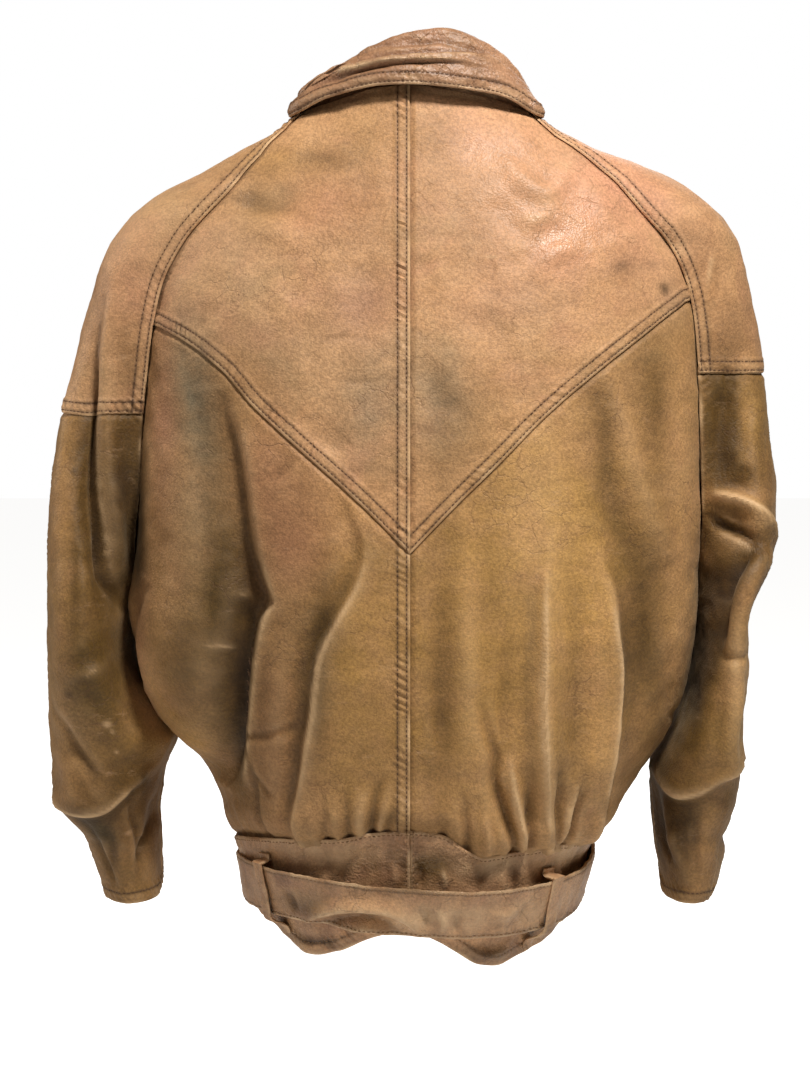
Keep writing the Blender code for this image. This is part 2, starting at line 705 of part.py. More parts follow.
# ---------------------------------------------------------------- the collar
# By the share of the neck seam from the centre back, 0, to the front, 1: how far the
# roll rises above the seam and stands out from it, and the same for the free edge.
COLLAR = table(
    "around rise lean edge_rise edge_out",
    (-1.00, 0.026, 0.004, -0.024, 0.018),
    (-0.80, 0.024, 0.003, -0.012, 0.018),
    (-0.60, 0.023, 0.000, 0.003, 0.011),
    (-0.45, 0.023, -0.003, 0.006, 0.008),
    (-0.33, 0.026, -0.004, 0.005, 0.007),
    (-0.20, 0.036, -0.005, 0.008, 0.010),
    (-0.10, 0.046, -0.005, 0.006, 0.012),
    (0.00, 0.050, -0.005, 0.005, 0.013),
    (0.10, 0.055, -0.005, 0.006, 0.013),
    (0.20, 0.050, -0.005, 0.007, 0.012),
    (0.33, 0.034, -0.004, 0.005, 0.007),
    (0.45, 0.025, -0.003, 0.006, 0.008),
    (0.60, 0.023, 0.000, 0.003, 0.011),
    (0.80, 0.024, 0.003, -0.012, 0.018),
    (1.00, 0.026, 0.004, -0.024, 0.018),
)
COLLAR_COLUMNS = 22
COLLAR_END = 0.93         # the collar stops short of the zip
ROLL = 0.0055             # half-thickness of the collar's roll
STAND_FOOT = 0.0018       # the stand's lower edge, above the neck seam


def neck_line(tops):
    """Points along the neck seam for each column, from the panels' top edges."""
    around = np.linspace(-COLLAR_END, COLLAR_END, COLLAR_COLUMNS + 1)
    points = np.zeros((len(around), 3))
    for side, word in ((LEFT, "left"), (RIGHT, "right")):
        rows = [tops[f"{name}_{word}"] for name in ("back_yoke", "sleeve_cap", "front")]
        if side == LEFT:
            rows = [row[::-1] for row in rows]
        line = np.concatenate([rows[0], rows[1][1:], rows[2][1:]])
        steps = np.linalg.norm(np.diff(line, axis=0), axis=1)
        share = np.concatenate([[0], np.cumsum(steps)]) / np.sum(steps)
        here = side * around >= 0
        for k in range(3):
            points[here, k] = np.interp(np.abs(around[here]), share, line[:, k])
    return around, points


def collar_section(share, part, around, seam):
    """A row of the collar: the stand rises to the roll, the fall drops from it."""
    up = np.array([0, 0, 1.0])
    along = np.gradient(seam, axis=0)
    along[:, 2] = 0
    out = unit(np.cross(unit(along), up))
    roll = (seam + up * read(COLLAR, "rise", around)[:, None]
            + out * read(COLLAR, "lean", around)[:, None])
    inside = roll - out * ROLL - up * ROLL
    outside = roll + out * ROLL - up * ROLL
    if part == "stand":
        foot = seam + up * STAND_FOOT
        return foot + (inside - foot) * share
    if share < 0.4:
        turn = math.pi * share / 0.4
        return roll - up * ROLL + (up * math.sin(turn) - out * math.cos(turn)) * ROLL
    drop = (share - 0.4) / 0.6
    edge = (seam + out * read(COLLAR, "edge_out", around)[:, None]
            + up * read(COLLAR, "edge_rise", around)[:, None])
    bow = out * (0.004 * math.sin(math.pi * drop))
    return outside + (edge - outside) * drop + bow


def collar_grid(part, shares, around, seam):
    return np.array([collar_section(share, part, around, seam) for share in shares])


# ---------------------------------------------------------------- the belt
BELT_WIDTH = 0.040
# How far the strap's inner face is off the waistband at its middle, that middle's
# height, and how much further out its top edge stands than its lower edge.
BELT = table(
    "angle off z tilt",
    (-218, 0.0066, -0.622, 0.000),
    (-186, 0.0066, -0.622, 0.000),
    (-176, 0.0066, -0.622, 0.000),
    (-164, 0.0034, -0.622, 0.000),
    (-145, 0.0030, -0.622, 0.003),
    (-120, 0.0030, -0.621, 0.010),
    (-90, 0.0030, -0.619, 0.016),
    (-60, 0.0060, -0.612, 0.014),
    (-40, 0.0110, -0.611, 0.014),
    (0, 0.0150, -0.617, 0.014),
    (25, 0.0140, -0.621, 0.014),
    (50, 0.0090, -0.621, 0.014),
    (90, 0.0030, -0.617, 0.016),
    (120, 0.0030, -0.621, 0.010),
    (145, 0.0034, -0.622, 0.003),
    (164, 0.0034, -0.622, 0.000),
    (179, 0.0034, -0.622, 0.000),
)
BELT_COLUMNS = 62


def belt_grid(angles, rows, extra=0.0):
    """The strap's outer face, moved out from it by extra."""
    wrapped = (angles + 180) % 360 - 180
    level = read(BELT, "z", angles)
    share = np.linspace(0.5, -0.5, rows)[:, None]
    base = torso(wrapped, level)
    step = torso(wrapped + STEP_DEG, level) - torso(wrapped - STEP_DEG, level)
    out = unit(np.cross(unit(step), np.array([0, 0, 1.0])))
    reach = read(BELT, "off", angles) + STRAP_WALL + extra
    reach = reach[None] + share * read(BELT, "tilt", angles)[None]
    grid = base[None] + out[None] * reach[..., None]
    grid[..., 2] = level[None] + share * BELT_WIDTH
    return grid


LOOP_WIDTH = 0.012
LOOP_FOOT = 0.004         # the sewn end of a loop
LOOP_EASE = 0.0018        # between the belt and a loop over it
LOOP_LIFT = 0.0011        # of a loop's feet off the waistband
BAND_RADIUS = 0.14        # of the waistband, to turn a width into an angle
LOOPS = table(
    "angle top bottom",
    (-142, -0.592, -0.652),
    (-50, -0.582, -0.646),
    (45, -0.592, -0.656),
    (124, -0.592, -0.649),
)
LOOP_NAMES = ("loop_front_left", "loop_back_left", "loop_back_right", "loop_front_right")


def loop_grid(angle, top, bottom):
    """A strap sewn to the waistband above and below the belt, and passing over it."""
    half = math.degrees(LOOP_WIDTH / 2 / BAND_RADIUS)
    angles = np.linspace(angle - half, angle + half, 3)
    over = belt_grid(angles, 5, LEATHER + LOOP_EASE)
    foot = LEATHER + LOOP_LIFT
    bend = np.array([0, 0, 0.003])
    rows = []
    for z in (top, top - LOOP_FOOT):
        rows.append(off_torso(angles, np.full(3, z), foot))
    rows += [over[0] + bend, over[2], over[4] - bend]
    for z in (bottom + LOOP_FOOT, bottom):
        rows.append(off_torso(angles, np.full(3, z), foot))
    return np.array(rows)


def off_torso(angles, z, distance):
    """Points of the torso moved straight out of it."""
    return torso(angles, z) + form_normal(torso, angles, z, STEP_DEG) * distance


# ---------------------------------------------------------------- small hard pieces
def box_part(low, high):
    """Corners and faces of one block, to be joined with others."""
    x, y, z = zip(low, high)
    corners = [(x[i], y[j], z[k]) for i in (0, 1) for j in (0, 1) for k in (0, 1)]
    faces = [(0, 1, 3, 2), (4, 6, 7, 5), (0, 4, 5, 1), (2, 3, 7, 6), (0, 2, 6, 4), (1, 5, 7, 3)]
    return corners, faces


def blocks(name, boxes, material, bevel=0.0):
    """One solid from overlapping blocks, by Boolean union, with its edges broken."""
    part = solid(name, *box_part(*boxes[0]), material)
    for number, (low, high) in enumerate(boxes[1:]):
        tool = solid(f"{name}.tool{number}", *box_part(low, high), material)
        tool.hide_render = True
        tool.display_type = "WIRE"
        tool.parent = part
        union = part.modifiers.new("union", "BOOLEAN")
        union.operation = "UNION"
        union.object = tool
    if bevel:
        rounding = part.modifiers.new("bevel", "BEVEL")
        rounding.width = bevel
        rounding.segments = 1
    return part


# ---------------------------------------------------------------- the zip
TAPE_INNER = 0.0034       # from the zip's middle to each tape's edges
TAPE_OUTER = 0.0120
TAPE_WALL = 0.0008
TAPE_GAP = 0.0009         # from a front panel to the tape behind it
CHAIN_HALF = 0.0030
CHAIN_WALL = 0.0024
ZIP_TOP = -0.083
ZIP_FOOT = -0.650
ZIP_ROWS = 22             # of the zip, from its top to the waist seam
SLIDER_LENGTH = 0.0135
SLIDER_GAP = 0.0004       # between the slider's lower end and the teeth


def front_point(x, z):
    return torso(torso_angle(x, z, "front"), z)


def front_strip(near, far, top, depth):
    """A strip of the front between two distances from the middle, moved inward."""
    waist = float(read(WAIST, "z", 180.0))
    z = joined(spaced(top, waist, ZIP_ROWS), spaced(waist, ZIP_FOOT, BAND_ROWS - 1))[:, None]
    x = np.array([[far, near]])
    angle = torso_angle(x + 0 * z, z + 0 * x, "front")
    grid = torso(angle, z + 0 * x)
    return grid - np.array([0, 1.0, 0]) * depth


def zip_frame():
    """The slider's middle and the slope of the front there."""
    middle = ZIP_TOP - SLIDER_LENGTH / 2
    chain = front_point(0.0, np.array([ZIP_TOP, middle, ZIP_TOP - SLIDER_LENGTH]))
    run = chain[2] - chain[0]
    slope = math.atan2(run[1], -run[2])
    normal = np.array([0, math.cos(slope), math.sin(slope)])
    return chain[1] - normal * (LEATHER + TAPE_GAP + TAPE_WALL / 2), slope


SUNK = 0.0004             # how far one block of a piece runs into the next
SLIDER_HALF = 0.0055      # half the width of the slider's plates
SLOT = 0.0009             # from the slider's middle to each plate
PLATE = 0.0015            # thickness of a plate
WEDGE_HALF = 0.0026       # the wedge between the plates, in its upper half
WEDGE_TIP = -0.0010
BRIDGE_HALF = 0.0013      # the bridge that holds the pull
BRIDGE_REACH = 0.0050     # from the slider's middle to the bridge's ends
BRIDGE_FOOT = 0.0016      # length of each foot along the zip
BRIDGE_TOP = 0.0068
BRIDGE_WALL = 0.0012


def slider_blocks():
    """Around its middle: two plates, the wedge between them and the bridge."""
    half = SLIDER_LENGTH / 2
    face = SLOT + PLATE
    foot = face - SUNK
    shin = BRIDGE_REACH - BRIDGE_FOOT
    return (
        ((-SLIDER_HALF, SLOT, -half), (SLIDER_HALF, face, half)),
        ((-SLIDER_HALF, -face, -half), (SLIDER_HALF, -SLOT, half)),
        ((-WEDGE_HALF, -SLOT - SUNK, WEDGE_TIP), (WEDGE_HALF, SLOT + SUNK, half - SUNK)),
        ((-BRIDGE_HALF, foot, shin), (BRIDGE_HALF, BRIDGE_TOP, BRIDGE_REACH)),
        ((-BRIDGE_HALF, foot, -BRIDGE_REACH), (BRIDGE_HALF, BRIDGE_TOP, -shin)),
        ((-BRIDGE_HALF, BRIDGE_TOP - BRIDGE_WALL, -BRIDGE_REACH),
         (BRIDGE_HALF, BRIDGE_TOP, BRIDGE_REACH)),
    )


PULL_AXIS = 0.0042        # the pull's cross bar, out from the slider's middle
PULL_BAR = 0.0007         # half its thickness
PULL_HALF = 0.0042        # half the pull's width
PULL_ARM = 0.0016         # width of the arm on each side of the bridge
PULL_EYE = 0.0078         # from the axis to the foot of the arms
PULL_LENGTH = 0.0320


def pull_blocks():
    """Around its axis: the cross bar under the bridge, two arms and the tab."""
    bar, half, gap = PULL_BAR, PULL_HALF, PULL_HALF - PULL_ARM
    return (
        ((-half, -bar, -bar), (half, bar, bar)),
        ((-half, -bar, -PULL_EYE - SUNK), (-gap, bar, bar / 2)),
        ((gap, -bar, -PULL_EYE - SUNK), (half, bar, bar / 2)),
        ((-half, -bar, -PULL_LENGTH), (half, bar, -PULL_EYE + SUNK)),
    )


# ---------------------------------------------------------------- the buckle
BUCKLE_Z = -0.622
BAR = 0.003               # the frame's bars are square
FRAME_HALF = 0.0255       # half the frame's length along the belt
RAIL = 0.0215             # from the belt's middle to each rail
UNDER = 0.0034            # the fixed end's inner face, off the waistband
OVER = UNDER + 2 * STRAP_WALL + 0.0010   # just clear of the tongue that lies on it


def frame_blocks():
    """Two rails, the centre bar that holds the fixed end, and a bar at each end."""
    rails = [((-FRAME_HALF, UNDER, side * RAIL + min(0, side) * BAR),
              (FRAME_HALF, OVER + BAR, side * RAIL + max(0, side) * BAR))
             for side in (-1, 1)]
    reach = RAIL + BAR / 2
    bars = [((-BAR / 2, UNDER, -reach), (BAR / 2, UNDER + STRAP_WALL, reach))]
    for side in (-1, 1):
        low, high = sorted((side * FRAME_HALF, side * (FRAME_HALF - BAR)))
        low, high = low + 0.0002 * (side < 0), high - 0.0002 * (side > 0)
        bars.append(((low, OVER, -reach), (high, OVER + BAR - 0.0002, reach)))
    return tuple(rails + bars)


PRONG_HALF = 0.0013
PRONG_WALL = 0.0016
PRONG_BEND = -0.0204      # where it steps up onto the frame's end bar
PRONG_TIP = -0.0270


def prong_blocks():
    """It lies on the tongue and its tip rests on the frame's end bar."""
    top = OVER + BAR + SEAM_GAP
    half, wall_side = PRONG_HALF, PRONG_BEND - PRONG_WALL
    return (
        ((PRONG_BEND - 2 * SUNK, OVER, -half), (BAR / 2, OVER + PRONG_WALL, half)),
        ((wall_side, OVER, -half), (PRONG_BEND, top + PRONG_WALL - SUNK / 2, half)),
        ((PRONG_TIP, top, -half), (PRONG_BEND, top + PRONG_WALL - SUNK / 2, half)),
    )


KEEPER_X = 0.046
KEEPER_HALF = 0.005       # half the keeper's length along the belt
KEEPER_WALL = 0.0013
KEEPER_EASE = 0.0007      # above and below the belt


def keeper_blocks():
    """A band round both layers of the belt."""
    inner, outer = UNDER - 0.0018, OVER + 0.0016
    half, wall_side = KEEPER_HALF, KEEPER_WALL
    high = BELT_WIDTH / 2 + KEEPER_EASE
    end = high + wall_side
    less = SUNK / 4
    return (
        ((-half, inner, -end), (half, inner + wall_side, end)),
        ((-half, outer - wall_side, -end), (half, outer, end)),
        ((less - half, inner + less, high), (half - less, outer - less, end - less)),
        ((less - half, inner + less, less - end), (half - less, outer - less, -high)),
    )


def place(part, location, slope=0.0, turn=0.0):
    part.location = location
    part.rotation_euler = (slope, 0, turn)


def place_keeper(part):
    """The keeper stands square to the belt where it is."""
    near, here, far = front_point(KEEPER_X + np.array([-0.005, 0, 0.005]), BUCKLE_Z)
    turn = math.atan2(far[1] - near[1], far[0] - near[0])
    place(part, here, turn=turn)


def main():
    for item in list(bpy.data.objects):
        bpy.data.objects.remove(item, do_unlink=True)
    tan = finish("tan_leather", (0.42, 0.24, 0.12), 0.75)
    brown = finish("brown_leather", (0.30, 0.16, 0.09), 0.55)
    tape = finish("zip_tape", (0.12, 0.07, 0.04), 0.9)
    brass = finish("brass", (0.55, 0.40, 0.18), 0.35, 1.0)

    shells = {}
    for side, word in ((LEFT, "left"), (RIGHT, "right")):
        shells[f"back_yoke_{word}"] = (yoke(side), tan)
        shells[f"back_lower_{word}"] = (lower_back(side), tan)
        shells[f"front_{word}"] = (front(side), tan)
        shells[f"sleeve_cap_{word}"] = (sleeve_cap(side), tan)
        shells[f"sleeve_back_{word}"] = (sleeve_lower(side, "back"), tan)
        shells[f"sleeve_front_{word}"] = (sleeve_lower(side, "front"), tan)
        shells[f"waistband_back_{word}"] = (waistband(side, "back"), brown)
        shells[f"waistband_front_{word}"] = (waistband(side, "front"), brown)

    shared = {}
    for grid, _ in shells.values():
        for point, normal in zip(grid.reshape(-1, 3), outward(grid).reshape(-1, 3)):
            key = tuple(np.round(point, 5))
            shared[key] = shared.get(key, 0) + normal
    for name, (grid, material) in shells.items():
        normals = np.array([shared[tuple(np.round(p, 5))] for p in grid.reshape(-1, 3)])
        normals = unit(normals.reshape(grid.shape))
        wall(name, drawn_in(grid, normals, SEAM_GAP / 2), normals, LEATHER, material)

    for side, word in ((LEFT, "left"), (RIGHT, "right")):
        halves = [shells[f"sleeve_{half}_{word}"][0] for half in ("back", "front")]
        grid = cuff_flap(side, *halves)
        wall(f"cuff_flap_{word}", grid, outward(grid), LEATHER, tan)

    around, seam = neck_line({name: grid[0] for name, (grid, _) in shells.items()})
    stand = collar_grid("stand", (1.0, 0.66, 0.33, 0.0), around, seam)
    wall("collar_stand", stand, outward(stand), LEATHER, tan)
    fall = collar_grid("fall", (0.03, 0.15, 0.26, 0.36, 0.50, 0.75, 1.0), around, seam)
    wall("collar_fall", fall, outward(fall), COLLAR_WALL, tan)

    for side, word in ((LEFT, "left"), (RIGHT, "right")):
        tape_grid = front_strip(side * TAPE_INNER, side * TAPE_OUTER, ZIP_TOP, LEATHER + TAPE_GAP)
        tape_grid = tape_grid if side == RIGHT else tape_grid[:, ::-1]
        wall(f"zip_tape_{word}", tape_grid, outward(tape_grid), TAPE_WALL, tape)
    chain_top = ZIP_TOP - SLIDER_LENGTH - SLIDER_GAP
    chain_depth = LEATHER + TAPE_GAP + (TAPE_WALL - CHAIN_WALL) / 2
    chain = front_strip(-CHAIN_HALF, CHAIN_HALF, chain_top, chain_depth)
    wall("zip_chain", chain, outward(chain), CHAIN_WALL, brass)
    middle, slope = zip_frame()
    place(blocks("zip_slider", slider_blocks(), brass), middle, slope)
    axis = middle + np.array([0, math.cos(slope), math.sin(slope)]) * PULL_AXIS
    place(blocks("zip_pull", pull_blocks(), brass), axis, slope)

    belt = belt_grid(np.linspace(-218, 179, BELT_COLUMNS + 1), 3)
    wall("belt", belt, outward(belt), STRAP_WALL, brown)
    for name, angle, top, bottom in zip(LOOP_NAMES, *LOOPS.values()):
        grid = loop_grid(angle, top, bottom)
        wall(name, grid, outward(grid), LEATHER, brown)

    face = (0, read(TORSO, "front", BUCKLE_Z), BUCKLE_Z)
    place(blocks("buckle_frame", frame_blocks(), brass), face)
    place(blocks("buckle_prong", prong_blocks(), brass), face)
    place_keeper(blocks("belt_keeper", keeper_blocks(), brown))


main()
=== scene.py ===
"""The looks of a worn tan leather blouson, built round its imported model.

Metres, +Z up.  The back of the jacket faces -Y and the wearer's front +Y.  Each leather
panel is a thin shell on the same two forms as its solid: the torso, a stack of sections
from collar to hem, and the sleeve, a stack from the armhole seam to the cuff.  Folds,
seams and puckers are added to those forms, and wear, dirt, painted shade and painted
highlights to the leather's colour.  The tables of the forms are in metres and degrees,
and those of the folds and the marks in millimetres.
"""
import math
import re
from functools import partial

import bpy
import numpy as np
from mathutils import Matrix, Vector


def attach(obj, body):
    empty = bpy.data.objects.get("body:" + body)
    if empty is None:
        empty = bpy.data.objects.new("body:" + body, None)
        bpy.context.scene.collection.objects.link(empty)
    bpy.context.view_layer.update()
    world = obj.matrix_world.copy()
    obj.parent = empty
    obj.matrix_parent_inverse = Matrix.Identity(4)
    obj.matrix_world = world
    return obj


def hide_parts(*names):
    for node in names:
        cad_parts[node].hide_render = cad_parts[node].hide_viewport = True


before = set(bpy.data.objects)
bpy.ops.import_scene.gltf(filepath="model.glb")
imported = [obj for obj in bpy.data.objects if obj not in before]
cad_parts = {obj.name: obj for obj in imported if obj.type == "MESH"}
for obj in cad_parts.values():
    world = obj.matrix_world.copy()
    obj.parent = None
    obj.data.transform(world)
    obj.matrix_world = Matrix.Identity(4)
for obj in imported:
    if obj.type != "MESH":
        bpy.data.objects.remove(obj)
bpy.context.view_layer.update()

MM = 0.001
LEATHER = 0.0015
COLLAR_WALL = 0.0024
STRAP_WALL = 0.0026
LEFT = -1
RIGHT = 1
SIDES = ((LEFT, "left"), (RIGHT, "right"))


# ---- small helpers
def rows_of(text):
    """Rows of numbers from text: one row to a line or between commas, # before a remark."""
    bare = re.sub(r"#.*", "", text).replace("\n", ",")
    return [[float(word) for word in row.split()] for row in bare.split(",") if row.strip()]


def table(names, text):
    """A table with named columns, one row for each section."""
    columns = np.array(sorted(rows_of(text))).T
    return dict(zip(names.split(), columns))


def folds(text):
    """Lines from text: a left and a right flank, a colon and a path, with ; after each."""
    lines = []
    for line in re.sub(r"#.*", "", text).split(";")[:-1]:
        flanks, path = line.split(":")
        left, right = (float(word) for word in flanks.split())
        lines.append((left, right, rows_of(path.replace("\n", " "))))
    return lines


def read(tab, column, at):
    """The value of a column at a place in the first column, on a monotone cubic."""
    xs = next(iter(tab.values()))
    ys = tab[column]
    at = np.clip(at, xs[0], xs[-1])
    step = np.diff(xs)
    slope = np.diff(ys) / step
    before, after = slope[:-1], slope[1:]
    same = before * after > 0
    tangent = np.zeros_like(ys)
    tangent[0], tangent[-1] = slope[0], slope[-1]
    tangent[1:-1][same] = 2 * (before * after)[same] / (before + after)[same]
    k = np.clip(np.searchsorted(xs, at, side="right") - 1, 0, len(step) - 1)
    h = step[k]
    t = (at - xs[k]) / h
    return (ys[k] * (1 + 2 * t) * (1 - t) ** 2 + tangent[k] * h * t * (1 - t) ** 2
            + ys[k + 1] * t * t * (3 - 2 * t) + tangent[k + 1] * h * t * t * (t - 1))


def reads(tab, names, at):
    """Several columns of a table, read at one place."""
    return [read(tab, name, at) for name in names.split()]


def smooth(t):
    """0 to 1 with flat ends."""
    t = np.clip(t, 0, 1)
    return t * t * (3 - 2 * t)


def bump(distance, width):
    """1 at a line, falling away over a width."""
    return np.exp(-(distance / width) ** 2)


def unit(vectors):
    return vectors / np.maximum(np.linalg.norm(vectors, axis=-1, keepdims=True), 1e-12)


def waves(points, size, seed, count=14):
    """Soft uneven ups and downs, -1 to 1 or so, about one size from crest to crest."""
    rng = np.random.default_rng(seed)
    total = np.zeros(points.shape[:-1])
    for _ in range(count):
        direction = unit(rng.normal(size=points.shape[-1]))
        rate = 2 * math.pi / size * rng.uniform(0.6, 1.5)
        total += np.sin(points @ direction * rate + rng.uniform(0, 2 * math.pi))
    return total / math.sqrt(count / 2) / 1.4


def ripples(points, *rows):
    """Small waves; each row is their height in millimetres, their size and their seed."""
    return sum(high * MM * waves(points, size, seed) for high, size, seed in rows)


# ---- the torso's sections
TORSO = table("z left right back front square", """
0.04 0.086 0.096 0.066 0.048 2.1
0.01 0.101 0.113 0.074 0.056 2.1
-0.03 0.15 0.166 0.088 0.07 2.2
-0.06 0.18 0.196 0.1 0.084 2.3
-0.1 0.206 0.222 0.114 0.102 2.4
-0.15 0.216 0.234 0.127 0.119 2.5
-0.2 0.219 0.238 0.136 0.13 2.6
-0.3 0.222 0.239 0.147 0.14 2.6
-0.385 0.225 0.232 0.152 0.144 2.5
-0.43 0.219 0.223 0.153 0.144 2.4
-0.47 0.202 0.213 0.152 0.142 2.3
-0.5 0.184 0.202 0.151 0.138 2.3
-0.53 0.166 0.187 0.149 0.133 2.2
-0.56 0.151 0.168 0.144 0.128 2.2
-0.59 0.143 0.15 0.136 0.122 2.2
-0.625 0.133 0.141 0.133 0.12 2.2
-0.65 0.121 0.128 0.129 0.118 2.2
-0.68 0.112 0.118 0.124 0.114 2.2
""")

# Heights of the seams that run round the torso, by angle.
NECK = table("angle z", """
-180 -0.078, -165 -0.056, -155 -0.036, -147 -0.022, -52 -0.003, -40 0.003, -30 0.008, -15 0.014, 0 0.016,
15 0.013, 30 0.008, 40 0.004, 52 -0.003, 147 -0.022, 155 -0.036, 165 -0.056, 180 -0.078
""")
WAIST = table("angle z", """
-180 -0.596, -90 -0.585, -60 -0.573, -35 -0.566, -20 -0.562, -12 -0.557, 0 -0.555, 8 -0.558, 16 -0.572,
22 -0.579, 30 -0.577, 45 -0.576, 60 -0.578, 90 -0.585, 180 -0.596
""")
HEM = table("angle z", """
-180 -0.66, -120 -0.65, -90 -0.636, -60 -0.643, -50 -0.655, -40 -0.661, -27 -0.655, -15 -0.643, -5 -0.637,
5 -0.64, 15 -0.652, 25 -0.665, 32 -0.668, 45 -0.662, 57 -0.655, 75 -0.643, 90 -0.64, 120 -0.65, 180 -0.66
""")

UNDERARM = -0.385         # height where the armhole closes
YOKE_POINT = -0.340       # height of the yoke's V at the centre back
ZIP_EDGE = 0.0065         # from the zip's middle to a front panel's edge

# The armhole seam's angle on the torso, behind on each side and in front, by height.
ARMHOLE = table("z left right front", """
0.014 51 54 147
-0.012 50 50 147
-0.03 49 52 146
-0.055 48 55 144
-0.08 51 57 142
-0.108 56 63 139
-0.133 60 66 135
-0.16 62 67 133
-0.2 64 67 129
-0.24 67 68 126
-0.3 70 70 124
-0.345 76 76 117
-0.37 83 83 106
-0.385 90 90 90
""")

# The yoke's V seam: height by distance from the centre back, on each side.
YOKE_SEAM = {
    LEFT: table("across z", """
0 -0.34, 0.046 -0.295, 0.088 -0.258, 0.123 -0.226, 0.144 -0.202, 0.173 -0.18, 0.2 -0.166
"""),
    RIGHT: table("across z", """
0 -0.34, 0.036 -0.303, 0.066 -0.274, 0.103 -0.237, 0.141 -0.205, 0.18 -0.175, 0.22 -0.146
"""),
}


# ---- the sleeves' sections
SLEEVE = {
    LEFT: table("z outer inner back front square", """
0.014 0.074 0.01 0.05 0.036 2
0 0.086 0.016 0.051 0.04 2
-0.01 0.104 0.026 0.053 0.043 2
-0.025 0.133 0.04 0.056 0.048 2
-0.044 0.17 0.06 0.062 0.056 2
-0.064 0.208 0.08 0.068 0.064 2.1
-0.081 0.228 0.098 0.073 0.07 2.2
-0.109 0.247 0.118 0.08 0.078 2.2
-0.163 0.266 0.14 0.088 0.087 2.3
-0.233 0.28 0.158 0.093 0.093 2.3
-0.299 0.291 0.18 0.095 0.096 2.3
-0.35 0.294 0.208 0.095 0.098 2.2
-0.385 0.294 0.23 0.094 0.099 2.2
-0.43 0.295 0.228 0.091 0.099 2.1
-0.46 0.295 0.214 0.087 0.097 2.1
-0.48 0.295 0.203 0.084 0.096 2.1
-0.5 0.294 0.192 0.08 0.094 2.1
-0.52 0.293 0.2 0.075 0.091 2
-0.535 0.292 0.205 0.07 0.089 2
-0.565 0.289 0.208 0.062 0.084 2
-0.6 0.277 0.209 0.052 0.077 2
-0.625 0.267 0.208 0.045 0.072 2
-0.645 0.26 0.208 0.04 0.068 2
"""),
    RIGHT: table("z outer inner back front square", """
0.014 0.086 0.01 0.05 0.036 2
0.002 0.099 0.018 0.052 0.04 2
-0.022 0.145 0.04 0.056 0.048 2
-0.042 0.199 0.06 0.062 0.056 2
-0.058 0.23 0.08 0.068 0.064 2.1
-0.08 0.255 0.1 0.073 0.07 2.2
-0.105 0.269 0.12 0.08 0.078 2.2
-0.141 0.278 0.14 0.086 0.085 2.3
-0.19 0.286 0.154 0.091 0.09 2.3
-0.244 0.29 0.166 0.094 0.094 2.3
-0.3 0.298 0.186 0.095 0.096 2.3
-0.343 0.298 0.212 0.095 0.098 2.2
-0.367 0.293 0.228 0.094 0.099 2.2
-0.39 0.284 0.237 0.093 0.099 2.2
-0.43 0.278 0.232 0.09 0.098 2.1
-0.47 0.276 0.226 0.086 0.096 2.1
-0.5 0.274 0.212 0.08 0.093 2.1
-0.53 0.271 0.199 0.072 0.09 2
-0.565 0.268 0.201 0.062 0.084 2
-0.6 0.265 0.205 0.052 0.077 2
-0.625 0.258 0.21 0.045 0.072 2
-0.645 0.25 0.213 0.04 0.068 2
"""),
}
CAP_SEAM = {LEFT: -0.236, RIGHT: -0.204}     # height of the seam across the upper arm
CUFF = {LEFT: -0.634, RIGHT: -0.634}         # height of the cuff's hem

OUTER_SEAM = {LEFT: -14, RIGHT: -42}         # angle of the outer seam, above the slit
SLIT_TOP = -0.582
SLIT_OPEN = 0.012         # share of the way round that the slit is open at the hem
SEAM_HOLD = 0.018         # how far below the underarm the seam still draws the sleeve in


# ---- the two forms
def section(angle, square):
    """A rounded square of half-width 1: sine and cosine pushed out to it."""
    s, c = np.sin(angle), np.cos(angle)
    reach = (np.abs(s) ** square + np.abs(c) ** square) ** (-1 / square)
    return reach * s, reach * c


def torso(angle_deg, z):
    """A point on the torso's smooth form."""
    angle_deg, z = np.broadcast_arrays(np.asarray(angle_deg, float), np.asarray(z, float))
    left, right, back, front, square = reads(TORSO, "left right back front square", z)
    s, c = section(np.radians(angle_deg), square)
    return np.stack([np.where(s > 0, right, left) * s, -np.where(c > 0, back, front) * c, z], axis=-1)


def torso_angle(x, z):
    """The angle on the torso's back where it has a given x."""
    left, right, square = reads(TORSO, "left right square", z)
    across = np.clip(x / np.where(x > 0, right, left), -1, 1)
    depth = (1 - np.abs(across) ** square) ** (1 / square)
    angle = np.degrees(np.arctan2(np.abs(across), depth))
    return np.where(across < 0, -angle, angle)


def armhole_angle(side, face, z):
    """The armhole seam's angle on one side, at its back or its front."""
    column = "front" if face == "front" else "left" if side == LEFT else "right"
    return side * read(ARMHOLE, column, z)


def armhole(side, face, z):
    return torso(armhole_angle(side, face, np.maximum(z, UNDERARM)), z)


def sleeve_oval(side, angle, z):
    """A point on the sleeve's own oval section, at an angle in radians."""
    outer, inner, back, front, square = reads(SLEEVE[side], "outer inner back front square", z)
    s, c = section(angle, square)
    x = side * ((outer + inner) / 2 + (outer - inner) / 2 * c)
    return np.stack([x, np.where(s < 0, back, front) * s, z], axis=-1)


def seam_angle(side, point, z, face):
    """The oval's angle in the direction of a point of the armhole seam."""
    outer, inner, depth = reads(SLEEVE[side], f"outer inner {face}", z)
    across = (side * point[..., 0] - (outer + inner) / 2) / ((outer - inner) / 2)
    return np.arctan2(point[..., 1] / depth, across)


